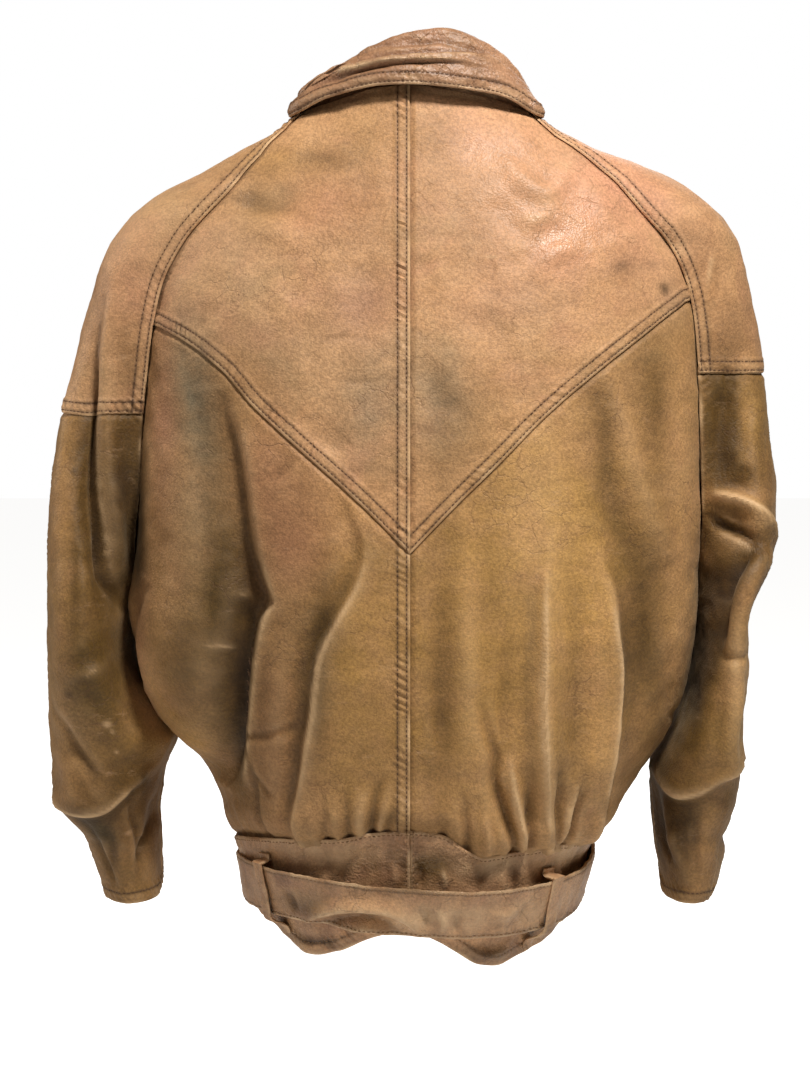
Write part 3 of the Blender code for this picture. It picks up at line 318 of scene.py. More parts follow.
def sleeve_span(side, z):
    """The armhole seam at a height and the oval's angles where it is met."""
    held = np.maximum(z, UNDERARM)
    back, front = (armhole(side, face, held) for face in ("back", "front"))
    start = seam_angle(side, back, held, "back")
    end = seam_angle(side, front, held, "front")
    closed = z <= UNDERARM
    start = np.where(closed, -math.pi, np.where(start > 0, start - 2 * math.pi, start))
    end = np.where(closed, math.pi, np.where(end < 0, end + 2 * math.pi, end))
    return held, back, front, start, end


def sleeve(side, t, z):
    """A point on the sleeve, t from the back seam, 0, round the outer side to 1."""
    t, z = np.broadcast_arrays(np.asarray(t, float), np.asarray(z, float))
    held, back, front, start, end = sleeve_span(side, z)
    loosen = np.exp(-((held - z) / SEAM_HOLD) ** 2)
    near_back = (loosen * (1 - smooth(t / 0.40)))[..., None]
    near_front = (loosen * (1 - smooth((1 - t) / 0.40)))[..., None]
    return (sleeve_oval(side, start + (end - start) * t, z)
            + (back - sleeve_oval(side, start, held)) * near_back
            + (front - sleeve_oval(side, end, held)) * near_front)


def sleeve_t(side, angle_deg, z):
    """The sleeve's t at an angle of its oval."""
    _, _, _, start, end = sleeve_span(side, z)
    return (np.radians(angle_deg) - start) / (end - start)


STEP_Z = 0.002
STEP_DEG = 0.5
STEP_T = 0.004


def form_normal(form, around, z, step):
    """The outward normal of a form, for 'around' running towards +angle."""
    down = form(around, z - STEP_Z) - form(around, z + STEP_Z)
    along = form(around + step, z) - form(around - step, z)
    return unit(np.cross(down, along))


# ---- lines on a surface
def curve(rows, step=0.002):
    """A smooth path through rows of millimetres: x, z and a height."""
    rows = np.array(rows, dtype=float) * MM
    ends = np.vstack([2 * rows[0] - rows[1], rows, 2 * rows[-1] - rows[-2]])
    out = []
    for a, b, c, d in zip(ends[:-3], ends[1:-2], ends[2:-1], ends[3:]):
        count = max(2, int(np.linalg.norm((c - b)[:2]) / step))
        t = np.arange(count)[:, None] / count
        out.append(0.5 * (2 * b + (c - a) * t + (2 * a - 5 * b + 4 * c - d) * t ** 2
                          + (3 * b - a - 3 * c + d) * t ** 3))
    return np.vstack(out + [rows[-1:]])


def closest(places, line):
    """The index of the point of a line that is nearest to each place."""
    square = (line ** 2).sum(axis=1)[None] - 2 * places @ line.T
    return np.argmin(square, axis=1)


def nearest(places, path):
    """For each place: the path's nearest sample, and the distance, negative on the left
    of a path that runs down, or below a path that runs to the right."""
    index = closest(places, path)
    tangent = unit(np.gradient(path, axis=0))[index]
    off = places - path[index]
    side = tangent[:, 0] * off[:, 1] - tangent[:, 1] * off[:, 0]
    beyond = np.maximum(np.abs((off * tangent).sum(axis=1)) - 0.002, 0)
    return index, np.where(side < 0, -1, 1) * np.hypot(side, beyond)


BROAD_GAIN = 1.3
FINE_GAIN = 1.7


def lift(places, lines):
    """How far the lines of a table raise each (x, z) place, in metres.

    A line is its left and its right flank in millimetres and its path of x, z, height.
    """
    total = np.zeros(len(places))
    for left, right, rows in lines:
        path = curve(rows)
        reach = 2.4 * max(left, right) * MM
        low, high = path[:, :2].min(axis=0) - reach, path[:, :2].max(axis=0) + reach
        near = np.all((places > low) & (places < high), axis=1)
        if not near.any():
            continue
        index, distance = nearest(places[near], path[:, :2])
        width = np.where(distance < 0, left, right) * MM
        gain = BROAD_GAIN if max(left, right) > 20 else FINE_GAIN
        total[near] += gain * path[index, 2] * np.exp(-(distance / width) ** 2)
    return total


def spots(places, marks):
    """The strength of soft-edged marks: x, z, half-width, half-height, strength, in mm."""
    total = np.zeros(len(places))
    for x, z, wide, high, strength in marks:
        across = (places[:, 0] / MM - x) / wide
        up = (places[:, 1] / MM - z) / high
        total += strength * np.exp(-(across ** 2 + up ** 2))
    return total


# ---- folds and creases
# Each line: left flank, right flank, and a path of (x, z, height), all in millimetres.
BACK_FOLDS = folds("""
# the long valley on the left and the rolled fold on its right
34 28: -150 -215 0, -128 -300 -6, -120 -390 -9, -126 -470 -10, -132 -560 -4;
15 6: -148 -215 0, -143 -240 -3, -137 -265 -4.5, -131 -330 -6, -124 -357 -7.5, -119 -376 -9,
  -127 -392 -9.5, -133 -415 -10, -138 -442 -10, -142 -477 -10, -145 -505 -9, -149 -524 -5, -151 -538 0;
5 22: -142 -210 0, -130 -240 1.2, -124 -265 2.2, -117 -330 3.2, -110 -357 4, -103 -378 4.5, -111 -390 4.5,
  -117 -410 5, -122 -438 5.5, -126 -477 6, -129 -503 5, -134 -526 2.5, -137 -545 0;
36 28: -165 -250 0, -168 -340 5, -174 -420 6, -165 -520 0;
9 13: -181 -178 0, -168 -209 -1.6, -162 -255 -2.2, -157 -316 -2.4, -154 -378 -2, -156 -420 0;
# the second fold, soft above and pinched below
24 30: -50 -310 0, -44 -380 5, -66 -450 7, -85 -560 2;
10 6: -58 -286 0, -46 -322 -1.6, -43 -342 -2.2, -49 -364 -2.6, -63 -390 -3, -74 -411 -3.2, -79 -432 -3.4,
  -81 -463 -3.6, -85 -485 -3.8, -89 -513 -3.6, -93 -539 -3, -93 -560 -2;
4 15: -50 -296 0, -36 -322 1.2, -33 -342 1.8, -39 -364 2.2, -53 -390 2.5, -64 -411 2.6, -70 -432 2.8,
  -73 -463 3, -77 -485 3.2, -81 -513 3.2, -86 -539 2.8, -86 -562 2;
# fullness at the sides, where the body meets the sleeves
26 26: -222 -360 0, -216 -400 4, -205 -440 6, -190 -480 5, -172 -520 0;
26 26: 230 -360 0, 228 -400 4, 220 -440 7, 208 -480 7, 190 -525 0;
# short creases between the two
3.5 3: -133 -490 0, -129 -510 -1.6, -125 -530 -2, -121 -549 -1.8, -114 -566 -1.2;
5 4: -128 -486 -1.2, -108 -481 -1.4, -92 -476 -1, -79 -472 0;
3 4: -121 -524 -1.2, -114 -529 -1.2, -104 -534 0;
4 5: -110 -290 0, -99 -278 -1.2, -86 -267 0;
12 10: -98 -395 0, -101 -430 2.2, -104 -470 2.8, -106 -520 1.6, -104 -560 0;
# the underarm lobe on the left
6 4: -203 -366 0, -212 -390 -2.5, -215 -415 -3, -211 -440 -2.4, -206 -456 0;
# the right panel: a broad fall from the yoke and two long ridges
30 30: 140 -240 0, 152 -300 -6, 170 -370 -4, 176 -420 0;
24 30: 100 -370 0, 98 -470 5, 95 -560 1;
30 24: 160 -430 0, 150 -500 6, 135 -560 1;
5 16: 112 -318 0, 105 -350 2, 103 -372 3.4, 102 -414 4, 100 -461 4.2, 101 -499 4.2, 103 -534 3.8,
  105 -566 2.6;
12 7: 92 -345 0, 90 -400 -2.4, 88 -450 -3, 89 -500 -3, 92 -540 -2;
2 2: 103 -362 0, 101 -414 1.1, 99.5 -461 1.2, 100.5 -499 1.2, 103 -540 0.8, 105 -566 0;
9 11: 122 -345 0, 126 -390 -2, 128 -450 -2.6, 127 -500 -2.2, 124 -540 -1;
18 5: 143 -330 0, 156 -374 3, 157 -406 4.6, 159 -432 5, 156 -461 5, 150 -495 4.6, 147 -520 3.8,
  149 -560 2.4;
2 2: 152 -362 0, 157 -406 0.9, 159 -432 1.1, 156 -461 1.1, 150 -495 1, 147 -520 0.8, 148 -550 0;
12 14: 168 -350 0, 176 -400 -2.2, 178 -440 -2.6, 171 -485 -2, 164 -530 0;
12 9: 149 -200 0, 166 -247 2.6, 177 -286 3.6, 190 -325 3.2, 199 -357 0;
9 9: 140 -212 0, 150 -254 -1.8, 156 -300 -2.4, 168 -339 -1.8, 176 -364 0;
14 12: 45 -335 0, 45 -405 2.4, 49 -467 3, 53 -514 2.4, 54 -545 0;
9 10: 24 -350 0, 23 -410 -1.8, 25 -470 -2.1, 28 -525 0;
7 8: 75 -380 0, 73 -430 -2, 72 -480 -2.4, 70 -510 0;
5 6: 200 -470 0, 207 -476 -1.2, 213 -482 -1;
# gathers above the waist on the right
6 4: 50 -440 0, 58 -470 -2, 66 -497 -3.6, 66 -515 -4.6, 72 -535 -5.4, 79 -557 -5.4, 83 -572 -4;
3 5: 76 -490 0, 79 -520 2.6, 83 -545 3.4, 86 -568 2.6;
4 3.5: 92 -505 0, 92 -540 -3.4, 93 -568 -4.4;
3.5 4: 112 -488 0, 112 -518 -3, 112 -540 -4.2, 113 -570 -4.6;
5 3: 128 -500 0, 124 -528 2.8, 118 -550 3.4, 113 -572 2.4;
4 3: 132 -522 0, 126 -546 -3.4, 123 -572 -4;
4 3: 146 -530 0, 142 -552 2.4, 139 -574 1.8;
4 4: 160 -524 0, 154 -548 -2.6, 150 -574 -3;
5 5: 56 -520 0, 58 -550 2.4, 60 -570 2;
4 4: 40 -520 0, 43 -548 -2.6, 45 -568 -3.2;
3.5 4: 24 -540 0, 26 -556 -1.8, 27 -568 -2.4;
# small gathers on the left of the centre seam
4 4: -20 -505 0, -27 -532 -2.4, -30 -558 -3.2;
4 4: -50 -520 0, -48 -545 -2.4, -47 -562 -3;
3.5 3.5: -10 -526 0, -15 -544 -1.8, -19 -558 -2.4;
4 4: -66 -528 0, -65 -550 -2.2, -64 -564 -2.8;
5 5: -38 -515 0, -38 -545 2, -38 -562 1.6;
# soft dents of the yoke and beside the centre seam
9 17: -146 -62 0, -124 -71 -2.6, -96 -76 -2.2, -74 -84 0;
8 13: -146 -36 0, -126 -43 -1.8, -104 -44 0;
7 12: -128 -86 0, -106 -96 1.2, -82 -98 0;
15 13: -84 -22 0, -76 -33 -1.2, -70 -52 0;
9 8: 70 -36 0, 88 -56 2.2, 108 -64 2.4, 128 -38 0;
7 9: 78 -96 0, 100 -84 1.8, 126 -72 0;
10 8: 92 -128 0, 112 -111 1.9, 136 -104 0;
8 8: 56 -70 0, 74 -84 -1.4, 92 -104 0;
8 12: 136 -48 0, 148 -72 1.8, 168 -92 0;
12 12: 150 -112 0, 172 -100 1.8, 190 -108 0;
9 14: -84 -232 0, -61 -254 -1.8, -40 -262 0;
12 10: 12 -196 0, 30 -223 -1.6, 46 -250 0;
12 14: 28 -150 0, 34 -200 1.4, 36 -262 0;
13 10: 58 -150 0, 72 -176 -1.6, 84 -200 0;
18 12: -36 -100 0, -32 -140 -1.6, -40 -185 0;
12 18: 38 -60 0, 42 -100 -1.6, 34 -145 0;
14 10: -110 -130 0, -96 -150 1.4, -70 -160 0;
2 2: -72 -180 0, -52 -176 -0.5, -20 -178 0;
2 2: -60 -206 0, -38 -210 -0.5, -14 -204 0;
2 2: -118 -116 0, -96 -112 -0.45, -80 -114 0;
2 2: 60 -112 0, 64 -124 -0.6, 60 -138 0;
""")
FRONT_FOLDS = folds("""
32 26: -112 -330 0, -102 -430 6, -92 -580 2;
26 32: 120 -300 0, 105 -430 6, 85 -580 2;
26 26: 74 -400 0, 68 -490 -5, 66 -580 -2;
26 26: -66 -390 0, -68 -490 -5, -66 -580 -2;
6 12: -128 -300 0, -118 -360 -2.2, -112 -430 -2.8, -110 -500 -2, -104 -560 0;
13 5: 136 -280 0, 128 -350 2, 118 -430 3, 108 -510 2.6, 100 -580 1;
9 8: 40 -330 0, 44 -410 -1.8, 41 -500 -2.2, 44 -585 -1.8;
8 9: -36 -360 0, -42 -430 -1.6, -39 -510 -2, -41 -585 -1.6;
12 14: 92 -140 0, 104 -190 -2.4, 112 -250 -1.6, 110 -300 0;
14 12: -92 -150 0, -100 -205 -2, -112 -262 -1.8, -108 -310 0;
9 8: 84 -495 0, 87 -540 -2.6, 90 -586 -3.2;
8 9: 58 -505 0, 60 -552 -2.2, 61 -588 -2.8;
8 8: 110 -515 0, 112 -556 -2.4, 113 -584 -2.8;
8 8: 30 -530 0, 31 -562 -1.6, 32 -588 -2;
8 9: -82 -500 0, -86 -545 -2.6, -88 -586 -3.2;
8 8: -58 -515 0, -60 -556 -2, -61 -588 -2.6;
9 8: -110 -505 0, -112 -550 -2.2, -112 -584 -2.8;
8 8: -32 -532 0, -33 -566 -1.6, -33 -588 -2;
6 6: 150 -480 0, 138 -500 -1.8, 118 -508 -1.4, 98 -506 0;
6 6: -152 -470 0, -138 -492 -1.6, -116 -500 -1.6, -100 -499 0;
""")
# The sleeves, seen from behind and from the front.
SLEEVE_BACK_FOLDS = {
    LEFT: folds("""
16 7: -243 -120 0, -249 -166 -4, -251 -204 -6, -251 -262 -7.5, -248 -300 -8, -243 -328 -8, -238 -355 -7,
  -233 -378 -6, -226 -402 -5, -217 -426 -3, -210 -450 0;
4 14: -240 -140 0, -245 -180 2, -246 -229 3, -246 -262 3.6, -243 -300 3.8, -238 -328 3.6, -233 -355 3.2,
  -228 -378 3, -221 -402 2.4, -213 -424 0;
2.4 2.4: -251 -190 0, -251 -229 -2, -251 -262 -2.6, -248 -300 -2.8, -243 -328 -2.8, -238 -355 -2.6,
  -233 -378 -2.4, -226 -402 -1.8, -217 -426 0;
2.6 5: -226 -522 0, -225 -560 -2.2, -225 -590 -2, -226 -604 0;
3 3: -205 -556 0, -211 -572 -2, -221 -590 -2.4, -227 -600 0;
4 3: -262 -560 0, -264 -584 -1.6, -256 -606 -1.8, -246 -622 0;
9 9: -214 -230 0, -216 -262 -4, -217 -310 -5, -218 -350 -4.5, -220 -385 -3, -216 -410 0;
16 22: -292 -563 0, -272 -555 2, -240 -538 3, -205 -515 2, -180 -490 0;
4 18: -292 -546 1, -282 -551 3.5, -270 -553 5, -256 -553 6, -246 -550 6.4, -237 -542 6.6, -222 -529 6.6,
  -206 -515 6, -192 -500 4, -180 -488 0;
7 8: -256 -436 0, -243 -444 2.4, -230 -463 3, -208 -475 2.6, -191 -479 1;
6 6: -262 -458 0, -246 -462 -2, -232 -478 -2.6, -210 -490 -2, -195 -493 0;
6 7: -274 -445 0, -262 -441 1.4, -243 -437 1.8, -228 -454 1.8, -206 -466 0;
5 5: -290 -470 0, -276 -484 -2, -262 -506 -2.4, -250 -522 -1.6, -240 -530 0;
8 7: -288 -500 0, -276 -516 2.2, -266 -536 2.4, -262 -550 0;
4 5: -204 -545 0, -209 -556 -1.8, -215 -580 -2.2, -224 -606 -1.2, -230 -622 0;
6 6: -246 -566 0, -250 -586 -1.8, -252 -608 -1.4, -250 -626 0;
7 6: -280 -180 0, -276 -230 1.6, -279 -290 2, -282 -345 0;
6 7: -268 -300 0, -266 -350 -1.6, -268 -400 -1.8, -272 -440 0;
5 5: -262 -246 0, -266 -262 -1.4, -274 -276 0;
"""),
    RIGHT: folds("""
3 5: 242 -100 0, 238 -118 1.2, 235 -134 1.4, 229 -166 0;
8 10: 256 -198 0, 252 -211 -2.5, 245 -235 -4, 242 -262 -4, 245 -278 -2, 250 -288 0;
10 8: 266 -200 0, 269 -235 2, 271 -262 2.6, 274 -290 2.6, 277 -315 2.4, 279 -330 0;
8 5: 206 -305 1, 225 -303 4, 239 -300 6, 255 -301 6.6, 268 -307 6.4, 280 -319 4.5, 292 -332 2;
5 4: 214 -312 -1, 231 -315 -3, 250 -324 -4.4, 262 -328 -4.4, 273 -333 -3, 286 -338 0;
11 6: 283 -336 0, 272 -343 -4, 261 -352 -8, 252 -367 -10, 247 -386 -10, 243 -406 -10, 236 -432 -8.5,
  231 -461 -6, 224 -490 -3, 216 -510 0;
7 9: 287 -342 0, 279 -354 3, 272 -374 4, 265 -396 4.4, 260 -416 4.4, 257 -440 4, 257 -466 4, 253 -496 3.6,
  253 -520 1;
3.5 5: 236 -424 0, 248 -427 -1.8, 258 -427 -2.2, 272 -425 0;
6 6: 240 -440 0, 243 -468 -2.4, 240 -500 -2.4, 240 -522 0;
5 6: 264 -440 0, 266 -470 -1.8, 264 -500 -1.6, 262 -516 0;
4 16: 186 -496 0, 194 -514 4, 204 -530 5.6, 216 -540 6.4, 231 -536 6.4, 246 -525 5.6, 260 -519 4,
  276 -512 0;
4 3: 198 -522 0, 203 -560 -2.6, 208 -585 -3, 216 -602 0;
3 5: 206 -530 0, 210 -560 1.6, 216 -585 1.8, 224 -602 0;
4 5: 230 -552 0, 233 -575 -1.6, 236 -600 -1.6, 238 -620 0;
5 5: 214 -556 0, 218 -580 1.6, 224 -606 1.4, 228 -622 0;
7 8: 216 -350 0, 213 -380 -2.6, 214 -420 -2.8, 218 -450 0;
5 6: 246 -204 0, 248 -214 1.4, 252 -226 0;
6 6: 268 -212 0, 266 -232 -1.6, 264 -252 -1.4, 268 -270 0;
8 8: 282 -205 0, 279 -235 1.6, 282 -262 0;
4 5: 268 -566 0, 270 -576 2.2, 266 -586 -0.8, 268 -597 2.6, 264 -608 0.8, 262 -620 2;
"""),
}
SLEEVE_FRONT_FOLDS = {
    LEFT: folds("""
30 30: -282 -415 0, -262 -440 -7, -240 -455 -7, -220 -468 0;
28 28: -286 -520 0, -246 -540 6, -206 -530 0;
6 10: -292 -452 1, -268 -470 3.5, -240 -484 4, -212 -488 1;
7 6: -290 -478 -1, -262 -498 -3.4, -234 -506 -3.4, -206 -502 0;
6 9: -288 -392 1, -262 -404 2.6, -238 -420 2.6, -222 -436 0;
9 8: -236 -180 0, -244 -240 -3.6, -246 -300 -4, -240 -360 0;
6 6: -222 -545 0, -232 -575 -2, -240 -605 -1.6, -243 -625 0;
8 7: -270 -250 0, -272 -300 2, -276 -350 2, -274 -390 0;
"""),
    RIGHT: folds("""
30 30: 278 -415 0, 262 -440 -7, 240 -455 -7, 222 -468 0;
28 28: 270 -520 0, 240 -540 6, 206 -530 0;
6 9: 284 -446 1, 260 -464 3.5, 238 -474 4, 214 -478 1;
6 7: 282 -470 -1, 258 -488 -3.2, 236 -496 -3.4, 210 -494 0;
6 9: 286 -380 1, 264 -394 2.4, 242 -412 2.6, 226 -426 0;
8 9: 240 -170 0, 248 -226 -3.4, 251 -290 -4, 246 -350 0;
6 6: 212 -550 0, 224 -580 -1.8, 232 -604 -1.6, 236 -622 0;
7 8: 276 -240 0, 280 -296 2, 282 -350 1.6, 278 -385 0;
"""),
}


# ---- seams
FINE = 0.0012             # spacing of a panel's grid beside its edges
FINE_STEPS = 12
COARSE_BACK = 0.0021      # and further in, where the jacket is looked at most
COARSE_FRONT = 0.0038
TUCK = 0.005              # how far a panel runs on beneath the one sewn over it
TUCK_STEPS = 4
STITCH_NEAR = 0.0026      # the two rows of topstitching, from the sewn edge
STITCH_FAR = 0.0096
EDGES = {"top": (0, 0), "bottom": (0, -1), "first": (1, 0), "last": (1, -1)}


def stations(length, coarse):
    """Shares of a length: close together near both ends and wider between them."""
    near = [FINE] * FINE_STEPS
    middle = max(length - 2 * FINE * FINE_STEPS, coarse)
    count = max(1, round(middle / coarse))
    reached = np.concatenate([[0], np.cumsum(near + [middle / count] * count + near)])
    return reached / reached[-1]


def run_of(points):
    """How far along a row of points each one is."""
    steps = np.linalg.norm(np.diff(points, axis=0), axis=1)
    return np.concatenate([[0], np.cumsum(steps)])


def resample(form, line, shares):
    """(around, z) pairs at shares of a seam's real length."""
    run = run_of(form(line[:, 0], line[:, 1]))
    at = shares * run[-1]
    return np.stack([np.interp(at, run, line[:, k]) for k in (0, 1)], axis=-1)


def coons(top, bottom, first, last, u, v):
    """A four-sided grid between its edges."""
    u, v = u[None, :, None], v[:, None, None]
    return (
        (1 - v) * top[None] + v * bottom[None]
        + (1 - u) * first[:, None] + u * last[:, None]
        - (1 - u) * (1 - v) * top[0] - u * (1 - v) * top[-1]
        - (1 - u) * v * bottom[0] - u * v * bottom[-1]
    )


def between(form, top, bottom, first, last, coarse):
    """A fine grid of (around, z) between four seams."""
    def length(*lines):
        return max(run_of(form(line[:, 0], line[:, 1]))[-1] for line in lines)

    u = stations(length(top, bottom), coarse)
    v = stations(length(first, last), coarse)
    return coons(resample(form, top, u), resample(form, bottom, u),
                 resample(form, first, v), resample(form, last, v), u, v)


def from_side(grid, edge):
    """A grid turned so that one of its edges is the first row."""
    axis, end = EDGES[edge]
    turned = np.swapaxes(grid, 0, axis)
    return turned if end == 0 else turned[::-1]


def turned_back(grid, edge):
    axis, end = EDGES[edge]
    return np.swapaxes(grid if end == 0 else grid[::-1], 0, axis)


def tucked(form, grid, edge):
    """A grid that runs on beneath its neighbour, past one of its edges."""
    lines = from_side(grid, edge)
    first, second = (form(line[:, 0], line[:, 1]) for line in lines[:2])
    apart = np.linalg.norm(first - second, axis=-1)
    rate = (lines[0] - lines[1]) / np.maximum(apart, 1e-5)[:, None]
    reach = TUCK * np.arange(TUCK_STEPS, 0, -1) / TUCK_STEPS
    run_on = lines[0][None] + rate[None] * reach[:, None, None]
    return turned_back(np.concatenate([run_on, lines]), edge)


def uneven(s, seed, size):
    """Soft ups and downs along a seam, about -1 to 1."""
    return waves(np.stack([s, 0 * s], axis=-1), size, seed, 8)


def pucker(d, s, seed, inner, outer):
    """Slanting gathers that the stitching draws up between two distances."""
    window = smooth(d / inner) * (1 - smooth((d - outer) / 0.0035))
    phase = 2 * math.pi * (s + 0.55 * d) / 0.0066 + 2.2 * uneven(s, seed, 0.05)
    strength = 0.44 + 0.36 * uneven(s, seed + 1, 0.04)
    return np.sin(phase) * strength * MM * window


def groove(d, row):
    return -0.45 * MM * bump(d - row, 0.0009)


SUNK = {"under": (1.7, 0.005), "under_collar": (0.4, 0.004), "under_gathered": (2.6, 0.007),
        "plain": (0.5, 0.003)}


def worked(kind, d, s, seed):
    """How an edge shapes the leather beside it: d runs in from the edge, s along it."""
    if kind in SUNK:
        deep, reach = SUNK[kind]
        drawn = 0.35 * pucker(d, s, seed, 0.002, 0.005) if kind == "under" else 0
        return drawn - deep * MM * (1 - smooth(d / reach))
    raised = 0.8 * MM * (1 - smooth((d - 0.0105) / 0.0035))
    curl = -1.2 * MM * np.clip(1 - d / 0.0016, 0, 1) ** 2
    if kind == "over":
        rows = groove(d, STITCH_NEAR) + groove(d, STITCH_FAR)
        return raised + rows + curl + pucker(d, s, seed, 0.004, 0.010)
    if kind == "over_plain":
        return 0.5 * raised + curl + 0.6 * pucker(d, s, seed, 0.003, 0.008)
    if kind == "edge":
        return 0.8 * curl
    if kind == "strap":
        return groove(d, STITCH_NEAR) + 0.8 * curl + 0.5 * pucker(d, s, seed, 0.002, 0.006)
    wavy = 0.5 * MM * uneven(s, seed + 3, 0.045)
    return raised + groove(d, STITCH_FAR) + curl + 0.7 * pucker(d, s, seed, 0.004, 0.0125) + wavy


# ---- panels
class Panel:
    """One piece of leather as a grid of points, from its top row down."""

    def __init__(self, name, base, normals, edges, seed, core=None):
        self.name, self.base, self.normals, self.edges = name, base, normals, edges
        self.shape = base.shape[:2]
        self.core = core or (slice(0, self.shape[0]), slice(0, self.shape[1]))
        self.seams = {edge: self.from_edge(edge) for edge in edges}
        self.height = np.zeros(self.shape)
        for number, (edge, kind) in enumerate(edges.items()):
            d, s = self.seams[edge]
            self.height += worked(kind, d, s, seed + 10 * number)
        self.folds = np.zeros(self.shape)

    def from_edge(self, edge):
        """Distance from an edge, negative past it, and the place along it."""
        axis, end = EDGES[edge]
        line = from_side(self.base[self.core], edge)[0]
        points = from_side(self.base, edge)
        d, s = np.full(points.shape[:2], 1.0), np.zeros(points.shape[:2])
        near = points[:FINE_STEPS + TUCK_STEPS + 16].reshape(-1, 3)
        index = closest(near, line)
        tangent = unit(np.gradient(line, axis=0))[index]
        off = near - line[index]
        along = (off * tangent).sum(axis=1)
        across = np.linalg.norm(off - tangent * along[:, None], axis=1)
        count = len(near) // points.shape[1]
        d[:count] = across.reshape(count, -1)
        s[:count] = (run_of(line)[index] + along).reshape(count, -1)
        lead = self.core[axis].start if end == 0 else self.shape[axis] - self.core[axis].stop
        d[:lead] *= -1
        return turned_back(d, edge), turned_back(s, edge)

    def places(self):
        return self.base.reshape(-1, 3)[:, [0, 2]]

    def folded(self, height):
        """Adds the folds, for which there is one height a point, and finishes the panel."""
        self.folds = height.reshape(self.shape)
        self.height += self.folds
        self.finish()

    def finish(self):
        self.points = self.base + self.normals * self.height[..., None]
        self.out = outward(self.points)

    def stitch_row(self, edge, offset):
        """Where a row of stitches runs on the finished leather: places and normals."""
        grids = (*self.seams[edge], self.points, self.out)
        d, s, points, out = (from_side(grid, edge) for grid in grids)
        past = np.argmax(d > offset, axis=0)
        columns = np.arange(d.shape[1])
        good = (past > 0) & (d[past, columns] < 0.5) & (s[past, columns] >= 0)
        past, columns = past[good], columns[good]
        a, b = d[past - 1, columns], d[past, columns]
        share = ((offset - a) / (b - a))[:, None]
        place, normal = (grid[past - 1, columns] * (1 - share) + grid[past, columns] * share
                         for grid in (points, out))
        return place, unit(normal)


def on_form(name, form, grid, step, flip, edges, seed):
    """A panel on a form, from a grid of (around, z), tucked under where it has to be."""
    spare = {edge: 0 for edge in EDGES}
    for edge, kind in edges.items():
        if kind.startswith("under"):
            grid = tucked(form, grid, edge)
            spare[edge] = TUCK_STEPS
    around, z = grid[..., 0], grid[..., 1]
    core = (slice(spare["top"], len(z) - spare["bottom"]),
            slice(spare["first"], z.shape[1] - spare["last"]))
    panel = Panel(name, form(around, z), form_normal(form, around, z, step) * flip, edges, seed, core)
    panel.around, panel.z = around, z
    return panel


def outward(points):
    """Normals of a grid whose rows run down and whose columns run towards +angle."""
    return unit(np.cross(np.gradient(points, axis=0), np.gradient(points, axis=1)))


def line_of(around, z):
    around, z = np.broadcast_arrays(np.asarray(around, float), np.asarray(z, float))
    return np.stack([around, z], axis=-1)


def junction(side):
    """Height where the yoke's V meets the armhole seam."""
    return YOKE_SEAM[side]["z"][-1]


def neck_start(side, column):
    """Where the armhole seam leaves the neck seam: its angle and its height."""
    angle = armhole_angle(side, column, 0.0)
    return angle, read(NECK, "z", angle)


def armhole_line(side, column, top, bottom):
    z = np.linspace(top, bottom, 90)
    return line_of(armhole_angle(side, column, z), z)


def seam_line(seam, start, stop):
    angles = np.linspace(start, stop, 90)
    return line_of(angles, read(seam, "z", angles))


def down_line(angle, top, bottom):
    return line_of(angle, np.linspace(top, bottom, 60))


def yoke_line(side):
    """The V seam from the armhole to the centre back."""
    tab = YOKE_SEAM[side]
    across = np.linspace(tab["across"][-1], 0, 90)
    z = read(tab, "z", across)
    angle = torso_angle(side * across, z)
    angle[0] = armhole_angle(side, "back", z[0])
    angle[-1] = 0
    return line_of(angle, z)


def zip_edge(side, z):
    """The angle of a front panel's edge beside the zip."""
    half = read(TORSO, "right" if side == RIGHT else "left", z)
    return side * (180 - np.degrees(np.arcsin(ZIP_EDGE / half)))


def torso_panel(name, top, bottom, outer, middle, coarse, kinds, seed):
    """A panel between a side seam and the centre; kinds are of top, bottom, outer, middle."""
    words = ["top", "bottom", "first", "last"]
    grid = between(torso, top, bottom, outer, middle, coarse)
    if grid[0, 0, 0] > grid[0, -1, 0]:
        grid = grid[:, ::-1]
        words = ["top", "bottom", "last", "first"]
    panel = on_form(name, torso, grid, STEP_DEG, 1, dict(zip(words, kinds)), seed)
    shape_torso(panel)
    return panel


def yoke(side, word):
    angle, z = neck_start(side, "back")
    outer = armhole_line(side, "back", z, junction(side))
    top = seam_line(NECK, angle, 0)
    top[0] = outer[0]
    middle = down_line(0, top[-1, 1], YOKE_POINT)
    centre = "over" if side == LEFT else "under"
    return torso_panel(f"back_yoke_{word}", top, yoke_line(side), outer, middle,
                       COARSE_BACK, ("under_collar", "over", "under", centre), 100 + side)


def side_line(side, face, top, waist):
    """Down the armhole seam from a height, and on down the side to the waist."""
    return np.concatenate([armhole_line(side, face, top, UNDERARM),
                           down_line(side * 90, UNDERARM, waist)[1:]])


def lower_back(side, word):
    waist = seam_line(WAIST, side * 90, 0)
    outer = side_line(side, "back", junction(side), waist[0, 1])
    middle = down_line(0, YOKE_POINT, waist[-1, 1])
    centre = "over" if side == LEFT else "under"
    return torso_panel(f"back_lower_{word}", yoke_line(side), waist, outer, middle,
                       COARSE_BACK, ("under", "under_gathered", "under", centre), 200 + side)


